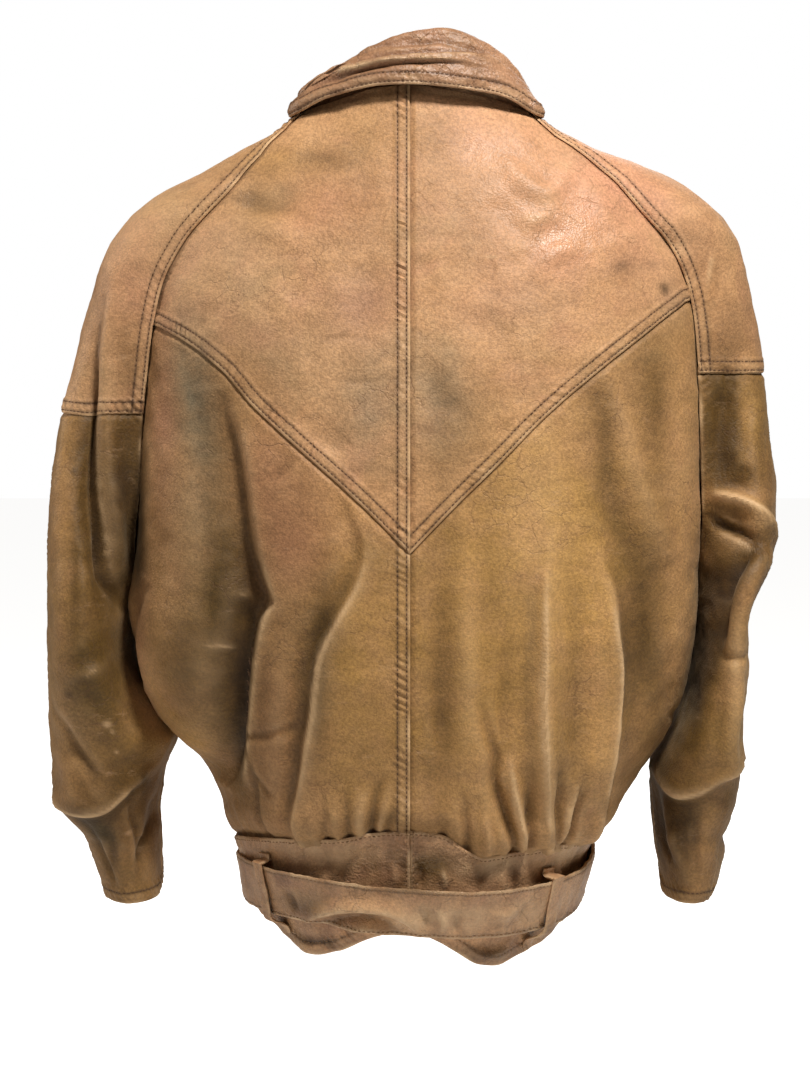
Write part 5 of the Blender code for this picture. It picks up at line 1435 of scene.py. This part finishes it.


# ---- colour, wear, dirt, painted shade and painted highlights
# Soft marks on the back, each x, z, half-width, half-height in millimetres and strength:
# pale with wear and painted highlights, dark with dirt and painted shade, tints of the leather, deeper in
# tone and painted shade, and polished.
MARKS = {
    # pale: small scuffs, and painted highlights on ridges, the left shoulder, the waistband, the belt and
    # the collar's edge
    "wear": rows_of("""
-240 -481 3.2 2.4 1, -236 -487 1.6 1.6 0.6, -233 -504 1.5 1.5 0.6, 62 -114 5 0.8 0.5, 107 -71 8 5 0.25,
120 -41 9 6 0.25, 96 -84 12 4 0.25, 95 -60 60 50 0.24, 20 -622 56 12 0.75, -60 -612 24 8 0.25,
96 -622 20 16 0.35, -196 -92 46 44 0.45, -122 -130 26 40 0.12, 206 -98 22 24 0.4, -66 -576 40 12 0.7,
60 -588 18 10 0.6, 126 -586 16 11 0.7, -203 -450 8 34 0.35, 256 -440 8 50 0.45, -104 -64 18 10 0.25,
98 -320 22 90 0.2, 92 -582 44 12 0.6, 52 14 36 4 0.5, 97 -470 5 80 0.25, 44 -430 8 70 0.18,
-206 -290 4 60 0.2, -126 -250 8 34 0.15
"""),
    # dark: small stains and dirt, and painted shade and shadow in the sleeves' deep hollows, the folds'
    # valleys, the yoke's dents, the cuffs and under the belt
    "grime": rows_of("""
212 -572 18 28 0.45, 200 -512 9 14 0.4, -262 -560 8 16 0.45, -76 -651 26 3 0.4, 60 -661 32 3 0.4,
-72 -34 16 5 0.35, -126 -66 15 6 0.4, -96 -60 8 5 0.2, 163 -121 9 6 0.5, 199 -138 4 5 0.8,
-160 -162 3 2.5 0.7, 259 -166 14 20 0.35, -267 -280 2.5 2.5 0.7, -269 -457 3 2.5 0.7, -148 -52 2.5 2 0.5,
96 -64 10 3 0.35, 190 -118 6 4 0.35, -214 -338 7 46 0.7, -230 -306 11 44 0.7, 262 -355 10 7 0.7,
250 -366 14 11 1, 245 -384 13 12 1.1, 241 -404 11 14 1.1, 233 -428 10 16 1.1, 226 -456 9 18 1,
252 -268 12 26 0.45, -142 -455 9 66 0.6, -132 -374 6 16 0.5, 202 -560 9 40 0.45, -100 -596 8 6 0.5
"""),
    "golden": rows_of("""
70 -430 95 130 0.6, 130 -330 60 70 0.5, 40 -390 30 80 0.3, -48 -420 30 90 0.5, -168 -470 34 60 0.35,
-120 -255 22 60 0.25, -262 -400 40 60 0.3, -215 -500 30 20 0.4, 262 -240 30 40 0.3, 250 -470 40 60 0.5,
-105 -75 34 22 0.5, -98 -38 34 14 0.4, 60 -250 60 30 0.25, -30 -20 26 30 0.2
"""),
    "rosy": rows_of("""
110 -72 60 50 0.75, 192 -80 40 44 0.55, 58 -18 46 30 0.4, -74 -78 36 28 0.45, -36 -152 28 28 0.55,
-225 -125 30 50 0.4, -192 -235 12 60 0.55, -112 -272 24 40 0.45, -150 -95 26 30 0.2, 70 -150 40 24 0.25,
-208 -420 8 50 0.5, -178 -560 60 30 0.2, -92 -330 30 40 0.4, 118 -120 26 16 0.3, 150 -32 40 30 0.35
"""),
    "brown": rows_of("""
-36 -62 26 34 0.35, -92 -320 34 60 0.45, -55 -285 38 34 0.2, -150 -205 22 40 0.3, -110 -480 26 70 0.5,
24 -440 12 90 0.3, -250 -560 40 50 0.4, -262 -150 26 60 0.25, 225 -590 30 30 0.3, 28 -62 24 20 0.25,
40 -270 30 30 0.2, 150 -130 30 26 0.22, -190 -300 16 60 0.3
"""),
    "grey": rows_of("""
-34 -226 26 40 0.5, 24 -222 28 42 0.5, 206 -150 16 20 0.3, 90 -150 30 20 0.2, -164 -255 16 90 0.75,
-176 -200 14 40 0.5, -128 -120 30 60 0.28, -96 -190 34 30 0.25, -254 -572 14 14 0.6, -150 -400 20 60 0.25,
70 -90 60 50 0.15, -256 -460 26 40 0.35, -40 -150 30 40 0.25
"""),
    # deeper: mostly painted shade in valleys, hollows and on sides turned from the light, partly a deeper
    # tone of the leather; negative strengths take some of a panel's painted shade away
    "deep": rows_of("""
-262 -330 10 110 0.2, -274 -330 9 130 -0.35, -226 -300 13 60 0.6, -212 -320 8 60 0.8,
-266 -500 26 40 -0.2, -255 -440 24 30 0.2, -235 -540 22 20 0.2, -234 -190 34 26 0.15,
-140 -445 12 80 0.95, -150 -350 20 60 0.4, -178 -430 22 50 0.2, -204 -455 12 40 -0.4, -62 -385 15 50 0.5,
-78 -455 12 50 0.25, -28 -340 16 22 0.3, -94 -442 26 60 0.2, -25 -515 36 50 0.25, 28 -400 22 80 0.2,
22 -505 16 50 0.2, 24 -245 9 60 0.2, 86 -400 10 70 0.15, 66 -360 14 60 0.2, 117 -490 12 60 0.25,
194 -440 20 60 0.35, -44 -168 30 50 0.12, -20 -285 24 34 0.12, 166 -440 9 60 0.45, -125 -200 40 24 0.2,
140 -225 14 26 0.35, 182 -200 16 40 0.35, 160 -300 20 60 0.1, 125 -350 50 80 -0.38, 165 -250 30 26 -0.1,
98 -420 8 120 -0.2, 214 -300 10 150 -0.25, 206 -430 9 50 -0.3, 90 -52 60 46 -0.2, -112 -72 26 9 0.3,
-130 -44 20 8 0.22, -70 -42 34 13 0.4, 20 -20 26 26 0.35, -30 -8 60 26 0.18, -62 -104 34 34 0.18,
-185 -150 24 18 0.15, 40 -250 26 30 0.2, -206 -290 6 60 -0.6, -172 -500 12 16 -0.3, -36 -300 26 26 -0.25,
247 -250 12 40 0.75, 248 -190 18 24 0.35, 263 -284 9 7 0.6, 184 -380 14 60 0.55, -240 -440 14 60 0.35,
-160 -420 16 60 0.3, -258 -562 14 22 0.4, 212 -562 24 40 0.5, -78 -620 22 12 0.25, 95 -300 40 80 -0.22,
45 -380 8 80 -0.2, 140 -522 12 40 -0.35, -60 -300 40 46 -0.15, -262 -210 14 60 -0.15, -4 -50 70 40 0.08,
268 -235 7 36 -0.3, 250 -302 26 6 -0.55, 272 -316 8 14 -0.4, 240 -335 12 12 0.15, 272 -346 8 7 0.6,
258 -357 12 9 0.8, 248 -374 13 14 0.9, 242 -396 11 16 0.9, 234 -424 10 20 0.9, 220 -466 12 34 0.9,
270 -380 7 28 -0.4, 257 -455 12 46 -0.6, 194 -545 12 50 0.4, 240 -582 10 30 -0.45, -75 -648 30 7 0.45,
60 -656 34 7 0.45, 106 -640 24 9 0.4, -84 -612 26 16 0.25, 16 -582 26 12 0.6, 52 12 40 7 -0.35,
76 30 14 20 -0.25, -222 -180 16 44 0.35, -225 -545 16 34 0.4, -68 -440 8 50 0.5, 193 -240 10 44 0.45,
152 -245 8 34 0.35, -172 -430 18 44 0.3, -85 -616 24 14 0.3, 16 -584 24 14 0.5, -8 -598 24 5 0.5
"""),
    "polish": rows_of("""
92 -62 46 40 1, 130 -100 40 22 0.8, 60 -30 30 16 0.6, -150 -70 40 20 0.5, 10 -626 60 20 1,
100 -625 30 16 0.6, 0 -582 60 14 1, -70 -584 40 10 0.6, -190 -100 40 30 0.3
"""),
}
# How golden the whole of a panel is, and how much darker: partly a deeper tone, partly painted shade on
# panels turned from the light or lying under others.
GILDED = {"back_lower": 0.35, "sleeve_back": 0.5, "sleeve_front": 0.5, "front": 0.3}
DEEPER_TONE_AND_SHADE = {
    "back_lower": 0.24, "sleeve_back": 0.66, "sleeve_front": 0.62, "front": 0.14,
    "sleeve_cap": 0.04, "collar_stand": 0.45, "collar_fall": 0.28, "cuff_flap": 0.5,
}


def of_panel(kind, panel):
    """The value that a table gives for a panel's name, left or right."""
    name = panel.name
    for word in ("_left", "_right"):
        name = name.removesuffix(word)
    return kind.get(name, 0.0)


def standing_out(panel, reach):
    """How far each place stands out of the leather about it, or sinks below it."""
    high = np.pad(panel.folds, reach, mode="edge")
    inner, after, before = slice(reach, -reach), slice(2 * reach, None), slice(None, -2 * reach)
    about = (high[before, inner] + high[after, inner] + high[inner, before] + high[inner, after])
    return panel.folds - about / 4


def seam_marks(panel):
    """Pale edges and seam ridges, partly wear and partly painted highlight; dirt along the stitching; and
    painted shade in the grooves where a panel runs under another.
    """
    wear, grime = np.zeros(panel.shape), np.zeros(panel.shape)
    for number, (edge, kind) in enumerate(panel.edges.items()):
        d, s = panel.seams[edge]
        patchy = 0.6 + 0.4 * uneven(s, 70 + number, 0.03)
        if kind in ("over", "over_plain", "hem", "strap", "edge"):
            wear += patchy * bump(np.maximum(d, 0), 0.0022)
        if kind in ("over", "hem"):
            wear += 0.22 * patchy * bump(d - 0.0061, 0.0022)
            grime += 0.62 * bump(d - STITCH_FAR, 0.0012)
        if kind in ("over", "strap"):
            grime += 0.62 * bump(d - STITCH_NEAR, 0.0012)
        if kind.startswith("under"):
            grime += 0.34 * bump(np.maximum(d, 0), 0.0018)
    return wear, grime


def mark(panel):
    """Everything the leather's material reads from the mesh."""
    places = panel.places()
    back = back_share(panel.normals).reshape(-1)
    wear, grime = seam_marks(panel)
    reach = 1 if "front" in panel.name else 2
    above, crest = standing_out(panel, 2 * reach), standing_out(panel, reach)
    hollow = np.clip(-panel.folds / 9e-3, 0, 1)
    marks = {word: (back * spots(places, rows)).reshape(panel.shape) for word, rows in MARKS.items()}
    # pale where the leather stands out: wear, and painted highlights on ridges and crests
    marks["wear"] += (wear + 0.30 * np.clip(above / 2.4e-3, 0, 1)
                      + 0.85 * np.clip(crest / 1.1e-3 - 0.5, 0, 1))
    # dark where the leather sinks: painted shade in hollows and valleys, added to the seams' dirt and
    # groove shade
    marks["grime"] += grime + 0.13 * hollow + 0.34 * np.clip(-above / 2.2e-3, 0, 1)
    marks["golden"] += of_panel(GILDED, panel)
    # deeper on whole panels and in hollows: painted shade, partly a deeper tone of the leather
    marks["deep"] += of_panel(DEEPER_TONE_AND_SHADE, panel) + 0.25 * hollow
    panel.marks = marks


# ---- materials
def rgb(red, green, blue):
    """A linear colour from the 0 to 255 values it has on a screen."""
    return tuple(((c / 255 + 0.055) / 1.055) ** 2.4 for c in (red, green, blue)) + (1.0,)


def feed(tree, socket, value):
    if isinstance(value, bpy.types.NodeSocket):
        tree.links.new(value, socket)
    elif value is not None:
        socket.default_value = value


def node(tree, kind, output, inputs, **settings):
    """One output of a new node, whose settings are made before its inputs are fed."""
    made = tree.nodes.new("ShaderNode" + kind)
    for word, value in settings.items():
        setattr(made, word, value)
    for socket, value in inputs.items():
        feed(tree, made.inputs[socket], value)
    return made.outputs[output]


def coordinates(tree, stretch=None):
    place = node(tree, "TexCoord", "Object", {})
    if stretch is None:
        return place
    return node(tree, "Mapping", "Vector", {"Vector": place, "Scale": stretch})


def noise(tree, where, scale, detail=3.0, roughness=0.55, distortion=0.0, output="Fac"):
    return node(tree, "TexNoise", output, {"Vector": where, "Scale": scale, "Detail": detail,
                                           "Roughness": roughness, "Distortion": distortion})


def cells(tree, where, scale, feature="F1"):
    return node(tree, "TexVoronoi", "Distance", {"Vector": where, "Scale": scale}, feature=feature)


def calc(tree, operation, a, b=None, clamp=False):
    return node(tree, "Math", 0, {0: a, 1: b}, operation=operation, use_clamp=clamp)


def fit(tree, value, low, high, to_low=0.0, to_high=1.0):
    return node(tree, "MapRange", 0, dict(enumerate((value, low, high, to_low, to_high))))


def mixed(tree, share, a, b, way="MIX"):
    return node(tree, "Mix", "Result", {"Factor": share, "A": a, "B": b},
                data_type="RGBA", blend_type=way)


def bumped(tree, height, distance, strength=1.0, under=None):
    return node(tree, "Bump", "Normal", {"Strength": strength, "Distance": distance,
                                         "Height": height, "Normal": under})


def marked(tree, mark_name, share):
    """How strong one of the mesh's marks is, broken up by a share about 1."""
    painted = node(tree, "Attribute", "Fac", {}, attribute_name=mark_name)
    return calc(tree, "MULTIPLY", painted, share, clamp=True)


def blank(name):
    material = bpy.data.materials.new(name)
    material.use_nodes = True
    tree = material.node_tree
    return material, tree, tree.nodes["Principled BSDF"].inputs


def grey_of(tree, value):
    return node(tree, "CombineColor", "Color", {0: value, 1: value, 2: value})


def toned(tree, colour, value):
    """A colour made lighter or darker by a value about 1."""
    return mixed(tree, 1.0, colour, grey_of(tree, value), "MULTIPLY")


def tinted(tree, colour, tint, share, strength):
    return mixed(tree, calc(tree, "MULTIPLY", share, strength), colour, tint)


def warped(tree, where, scale, amount):
    """Coordinates pushed about by a noise, so that lines drawn in them wander."""
    push = noise(tree, where, scale, 2.0, 0.5, 0.0, "Color")
    return node(tree, "VectorMath", 0, {0: push, 1: (amount, amount, amount), 2: where},
                operation="MULTIPLY_ADD")


def creases(tree, where, scale, width, patches):
    """1 in fine wandering lines, here and there, and 0 elsewhere."""
    line = cells(tree, warped(tree, where, 3 * scale, 0.5 / scale), scale, "DISTANCE_TO_EDGE")
    drawn = fit(tree, line, 0.0, width, 1.0, 0.0)
    kept = fit(tree, noise(tree, where, 0.35 * scale, 3.0, 0.6), patches, patches + 0.12)
    return calc(tree, "MULTIPLY", drawn, kept)


def layered(tree, colour, where, tints):
    """Clouds of other tints over a colour: each a scale, where it begins, strength, tint."""
    for scale, start, strength, tint in tints:
        cloud = fit(tree, noise(tree, where, scale, 5.0, 0.62, 0.6), start, start + 0.16)
        colour = tinted(tree, colour, tint, cloud, strength)
    return colour


def dirt_wear_and_painted_light(tree, colour, ragged, dark, pale, strength):
    """Dirt and wear as the mesh has them, with the painted shade and painted highlights that those marks
    also carry.
    """
    colour = tinted(tree, colour, dark, marked(tree, "grime", ragged), 0.90)
    return tinted(tree, colour, pale, marked(tree, "wear", ragged), strength)


def deepened_and_shaded(tree, colour, share):
    """Painted shade, and partly a deeper tone: a deeper and yellower colour where the mesh is marked deep.
    """
    darker = mixed(tree, 1.0, colour, (0.23, 0.21, 0.10, 1), "MULTIPLY")
    return mixed(tree, marked(tree, "deep", share), colour, darker)


def surfaced(tree, shader, colour, rough, shine, line, soft, cracks, pores):
    """The colour, the gloss and the relief; shine is a share of the polish and its strength."""
    feed(tree, shader["Base Color"], colour)
    gloss = calc(tree, "MULTIPLY", marked(tree, "polish", shine[0]), shine[1])
    feed(tree, shader["Roughness"], calc(tree, "SUBTRACT", rough, gloss))
    relief = bumped(tree, *soft)
    relief = bumped(tree, calc(tree, "SUBTRACT", 0.0, line), *cracks, relief)
    feed(tree, shader["Normal"], bumped(tree, *pores, relief))


def nubuck(name, light, deep, golden, rosy, brown, grey):
    """Worn tan leather with a short nap: mottled, pored and unevenly faded."""
    material, tree, shader = blank(name)
    where = coordinates(tree)
    cloud = noise(tree, where, 8.0, 4.0, 0.6, 0.4)
    colour = mixed(tree, fit(tree, cloud, 0.36, 0.64), deep, light)
    colour = layered(tree, colour, where, (
        (14.0, 0.50, 0.50, rgb(182, 132, 102)), (19.0, 0.52, 0.40, rgb(164, 134, 96)),
        (31.0, 0.54, 0.35, rgb(214, 170, 126)), (43.0, 0.55, 0.30, rgb(146, 106, 74))))
    ragged = fit(tree, noise(tree, where, 26.0, 4.0, 0.65), 0.30, 0.70, 0.5, 1.35)
    for mark_name, tint in (("golden", golden), ("rosy", rosy), ("brown", brown), ("grey", grey)):
        colour = mixed(tree, marked(tree, mark_name, ragged), colour, tint)
    even = fit(tree, noise(tree, where, 17.0, 3.0, 0.6), 0.30, 0.70, 0.85, 1.15)
    # painted shade: darker and yellower where the mesh is marked deep
    colour = deepened_and_shaded(tree, colour, even)
    streak = noise(tree, coordinates(tree, (1, 1, 2.6)), 30.0, 5.0, 0.7)
    colour = toned(tree, colour, fit(tree, streak, 0.34, 0.66, 0.92, 1.08))
    speckle = noise(tree, where, 420.0, 3.0, 0.75)
    colour = toned(tree, colour, fit(tree, speckle, 0.39, 0.61, 0.80, 1.18))
    line = creases(tree, where, 48.0, 0.035, 0.50)
    colour = tinted(tree, colour, rgb(96, 64, 42), line, 0.35)
    scuff = fit(tree, noise(tree, coordinates(tree, (1, 1, 3)), 34.0, 6.0, 0.75), 0.60, 0.76)
    colour = tinted(tree, colour, rgb(212, 172, 134), scuff, 0.35)
    # dirt and painted shade darken it, wear and painted highlights lighten it
    colour = dirt_wear_and_painted_light(tree, colour, ragged, rgb(42, 27, 15), rgb(222, 186, 142), 0.75)
    surfaced(tree, shader, colour, fit(tree, cloud, 0.3, 0.7, 0.68, 0.56), (ragged, 0.28), line,
             (noise(tree, where, 150.0, 4.0, 0.6), 0.0011, 0.40), (0.0004, 0.6),
             (cells(tree, where, 640.0), 0.0005, 0.55))
    shader["Specular IOR Level"].default_value = 0.32
    shader["Sheen Weight"].default_value = 0.10
    shader["Sheen Roughness"].default_value = 0.5
    shader["Sheen Tint"].default_value = (1.0, 0.80, 0.55, 1)
    return material


def smooth_leather(name, light, deep, rough=0.44, pebble=620.0):
    """The glossier grain leather of the waistband, the belt and the collar."""
    material, tree, shader = blank(name)
    where = coordinates(tree)
    cloud = noise(tree, where, 22.0, 5.0, 0.65, 0.5)
    colour = mixed(tree, fit(tree, cloud, 0.36, 0.64), deep, light)
    colour = layered(tree, colour, where, (
        (26.0, 0.50, 0.40, rgb(178, 130, 104)), (37.0, 0.54, 0.34, rgb(206, 168, 130)),
        (61.0, 0.55, 0.22, rgb(118, 84, 58))))
    # painted shade, at full strength where the mesh is marked deep
    colour = deepened_and_shaded(tree, colour, 1.0)
    speckle = noise(tree, where, 420.0, 3.0, 0.75)
    colour = toned(tree, colour, fit(tree, speckle, 0.39, 0.61, 0.82, 1.18))
    scuff = fit(tree, noise(tree, coordinates(tree, (1, 1, 3)), 60.0, 6.0, 0.75), 0.58, 0.74)
    colour = tinted(tree, colour, rgb(200, 164, 130), scuff, 0.4)
    line = creases(tree, where, 80.0, 0.05, 0.46)
    colour = tinted(tree, colour, rgb(82, 52, 34), line, 0.25)
    ragged = fit(tree, noise(tree, where, 70.0, 4.0, 0.65), 0.30, 0.70, 0.45, 1.35)
    # dirt and painted shade darken it, wear and painted highlights lighten it
    colour = dirt_wear_and_painted_light(tree, colour, ragged, rgb(50, 32, 22), rgb(218, 184, 144), 0.85)
    gloss = fit(tree, cloud, 0.3, 0.7, rough + 0.06, rough - 0.06)
    surfaced(tree, shader, colour, gloss, (ragged, 0.16), line,
             (noise(tree, where, 240.0, 5.0, 0.6), 0.0010, 0.5), (0.0005, 0.7),
             (cells(tree, where, pebble), 0.0005, 0.7))
    shader["Specular IOR Level"].default_value = 0.45
    return material


def plain(name, colour, roughness, metallic=0.0, wear_scale=90.0, spread=0.12):
    """A simple finish whose tone and gloss vary a little from place to place."""
    material, tree, shader = blank(name)
    where = coordinates(tree)
    tone = noise(tree, where, wear_scale, 4.0, 0.6)
    feed(tree, shader["Base Color"],
         toned(tree, colour, fit(tree, tone, 0.3, 0.7, 1 - spread, 1 + spread)))
    feed(tree, shader["Roughness"], fit(tree, tone, 0.3, 0.7, roughness + 0.08, roughness - 0.06))
    feed(tree, shader["Metallic"], metallic)
    feed(tree, shader["Normal"], bumped(tree, noise(tree, where, 900.0, 3.0), 0.0002, 0.3))
    return material


def woven(name, colour):
    """Zip tape: a fine twill."""
    material, tree, shader = blank(name)
    where = coordinates(tree, (1, 1, 0.6))
    twill = node(tree, "TexWave", "Fac", {"Vector": where, "Scale": 260.0})
    feed(tree, shader["Base Color"], toned(tree, colour, fit(tree, twill, 0.0, 1.0, 0.75, 1.15)))
    shader["Roughness"].default_value = 0.9
    feed(tree, shader["Normal"], bumped(tree, twill, 0.0003, 0.5))
    return material


# ---- camera and studio
def camera():
    data = bpy.data.cameras.new("camera")
    data.lens = 81.2
    data.sensor_width = 36
    view = placed("camera", data)
    view.location = (-0.0039, -1.9941, -0.1841)
    view.rotation_euler = (math.radians(85.5), 0, 0)
    bpy.context.scene.camera = view


def softbox(name, place, aim, size, power, colour=(1, 1, 1)):
    data = bpy.data.lights.new(name, "AREA")
    data.shape = "RECTANGLE"
    data.size, data.size_y = size
    data.energy = power
    data.color = colour
    lamp = placed(name, data)
    lamp.location = place
    lamp.rotation_euler = (Vector(aim) - Vector(place)).to_track_quat("-Z", "Y").to_euler()


def studio():
    softbox("key", (0.48, -1.05, 1.26), (0, -0.1, -0.20), (0.30, 0.26), 43, (1.0, 0.96, 0.90))
    softbox("fill", (-1.2, -1.4, 1.0), (0, 0, -0.26), (0.8, 0.7), 5.2, (1.0, 0.94, 0.86))
    softbox("rim", (-1.5, 0.32, 0.25), (-0.25, 0, -0.35), (0.6, 0.6), 9.0, (1.0, 0.88, 0.74))
    softbox("behind", (0.4, 2.0, 1.0), (0, 0, -0.3), (1.6, 1.2), 20)
    world = bpy.data.worlds.new("studio")
    world.use_nodes = True
    tree = world.node_tree
    background = tree.nodes["Background"].inputs
    seen = node(tree, "LightPath", "Is Camera Ray", {})
    feed(tree, background["Color"], mixed(tree, seen, (1.0, 0.84, 0.62, 1), (1.0, 1.0, 1.0, 1)))
    feed(tree, background["Strength"], fit(tree, seen, 0.0, 1.0, 0.05, 1.0))
    bpy.context.scene.world = world
    bpy.context.scene.view_settings.view_transform = "Standard"


def floor():
    """A pale floor, lit up as seen by the camera, that still takes a soft shadow."""
    material, tree, shader = blank("pale_floor")
    shader["Base Color"].default_value = (0.86, 0.86, 0.85, 1)
    shader["Roughness"].default_value = 0.95
    shader["Specular IOR Level"].default_value = 0.1
    shader["Emission Color"].default_value = (1, 1, 1, 1)
    seen = node(tree, "LightPath", "Is Camera Ray", {})
    feed(tree, shader["Emission Strength"], calc(tree, "MULTIPLY", seen, 0.92))
    size, level = 9.0, -0.86
    mesh = bpy.data.meshes.new("floor")
    mesh.from_pydata([(-size, -size, level), (size, -size, level), (size, size, level),
                      (-size, size, level)], [], [(0, 1, 2, 3)])
    mesh.materials.append(material)
    placed("floor", mesh)


# ---- the whole jacket
def leather_panels():
    """All the panels that are cut from the two forms, by name."""
    made = []
    for side, word in SIDES:
        made += [yoke(side, word), lower_back(side, word), front(side, word),
                 sleeve_cap(side, word), sleeve_lower(side, "back", word),
                 sleeve_lower(side, "front", word), waistband(side, "back", word),
                 waistband(side, "front", word)]
    return {panel.name: panel for panel in made}


def all_panels():
    """Every piece of leather, by name."""
    panels = leather_panels()
    rest = [*collar(panels), belt()]
    rest += [loop(*row) for row in zip(LOOP_NAMES, *LOOPS.values())]
    rest += [cuff_flap(side, word) for side, word in SIDES]
    panels.update((panel.name, panel) for panel in rest)
    return panels


def leather_of(name):
    """The short name of the leather that a piece is cut from."""
    if name.startswith(("waistband", "belt", "loop")):
        return "brown"
    return "collar" if name.startswith("collar") else "tan"


def stitch_rows(panels, leather):
    """Every row of topstitching on the panels of one leather."""
    rows = []
    for name, panel in panels.items():
        if leather_of(name) != leather:
            continue
        for edge, kind in panel.edges.items():
            band_seam = kind == "over_plain" and name.startswith("waistband")
            if kind in ("over", "strap") or band_seam:
                rows.append(panel.stitch_row(edge, STITCH_NEAR))
            if kind in ("over", "hem"):
                rows.append(panel.stitch_row(edge, STITCH_FAR))
    return rows


def materials():
    """The jacket's materials, by a short name."""
    return {
        "tan": nubuck("tan_nubuck", rgb(204, 158, 114), rgb(176, 132, 90), rgb(182, 140, 80),
                      rgb(206, 146, 116), rgb(140, 98, 66), rgb(140, 124, 100)),
        "brown": smooth_leather("brown_grain", rgb(197, 153, 112), rgb(156, 115, 82)),
        "collar": smooth_leather("collar_grain", rgb(186, 142, 110), rgb(156, 114, 84), 0.46, 430.0),
        "lining": plain("leather_inside", rgb(112, 84, 62), 0.85, wear_scale=40.0),
        "thread": plain("thread", rgb(84, 56, 36), 0.8),
        "pale_thread": plain("pale_thread", rgb(138, 104, 70), 0.7),
        "brass": plain("old_brass", rgb(170, 140, 92), 0.46, 1.0, wear_scale=160.0),
        "tape": woven("zip_twill", rgb(82, 58, 42)),
    }


WALLS = {"collar_fall": COLLAR_WALL, "belt": STRAP_WALL}
STITCHING = (("stitching", "tan", "thread"), ("stitching_collar", "collar", "thread"),
             ("stitching_brown", "brown", "pale_thread"))
FITTINGS = {"zip_slider": "brass", "zip_pull": "brass", "buckle_frame": "brass",
            "buckle_prong": "brass", "zip_tape_left": "tape", "zip_tape_right": "tape",
            "belt_keeper": "brown"}


def leather_pieces(panels, kit):
    """Each panel as a piece of leather that stands for its solid."""
    pieces = {}
    for name, panel in panels.items():
        mark(panel)
        leather = leather_of(name)
        piece = shell(f"{name}_leather", panel.points, WALLS.get(name, LEATHER), kit[leather],
                      kit["lining"], panel.marks, panel.out)
        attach(piece, "jacket")
        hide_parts(name)
        pieces[name] = piece
    return pieces


def stitching(panels, kit):
    """Every stitch, as one mesh for each leather."""
    for name, leather, thread in STITCHING:
        sewn = stitches(name, stitch_rows(panels, leather), kit[thread])
        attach(sewn, "jacket")


def zip_and_fittings(kit):
    """The teeth are built; the other fittings keep their solids and get materials."""
    teeth = zip_teeth(kit["brass"], kit["tape"])
    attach(teeth, "jacket")
    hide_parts("zip_chain")
    for name, material in FITTINGS.items():
        node_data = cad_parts[name].data
        node_data.materials.clear()
        node_data.materials.append(kit[material])


def main():
    kit = materials()
    panels = all_panels()
    pieces = leather_pieces(panels, kit)
    stitching(panels, kit)
    zip_and_fittings(kit)


studio()
floor()
camera()
main()
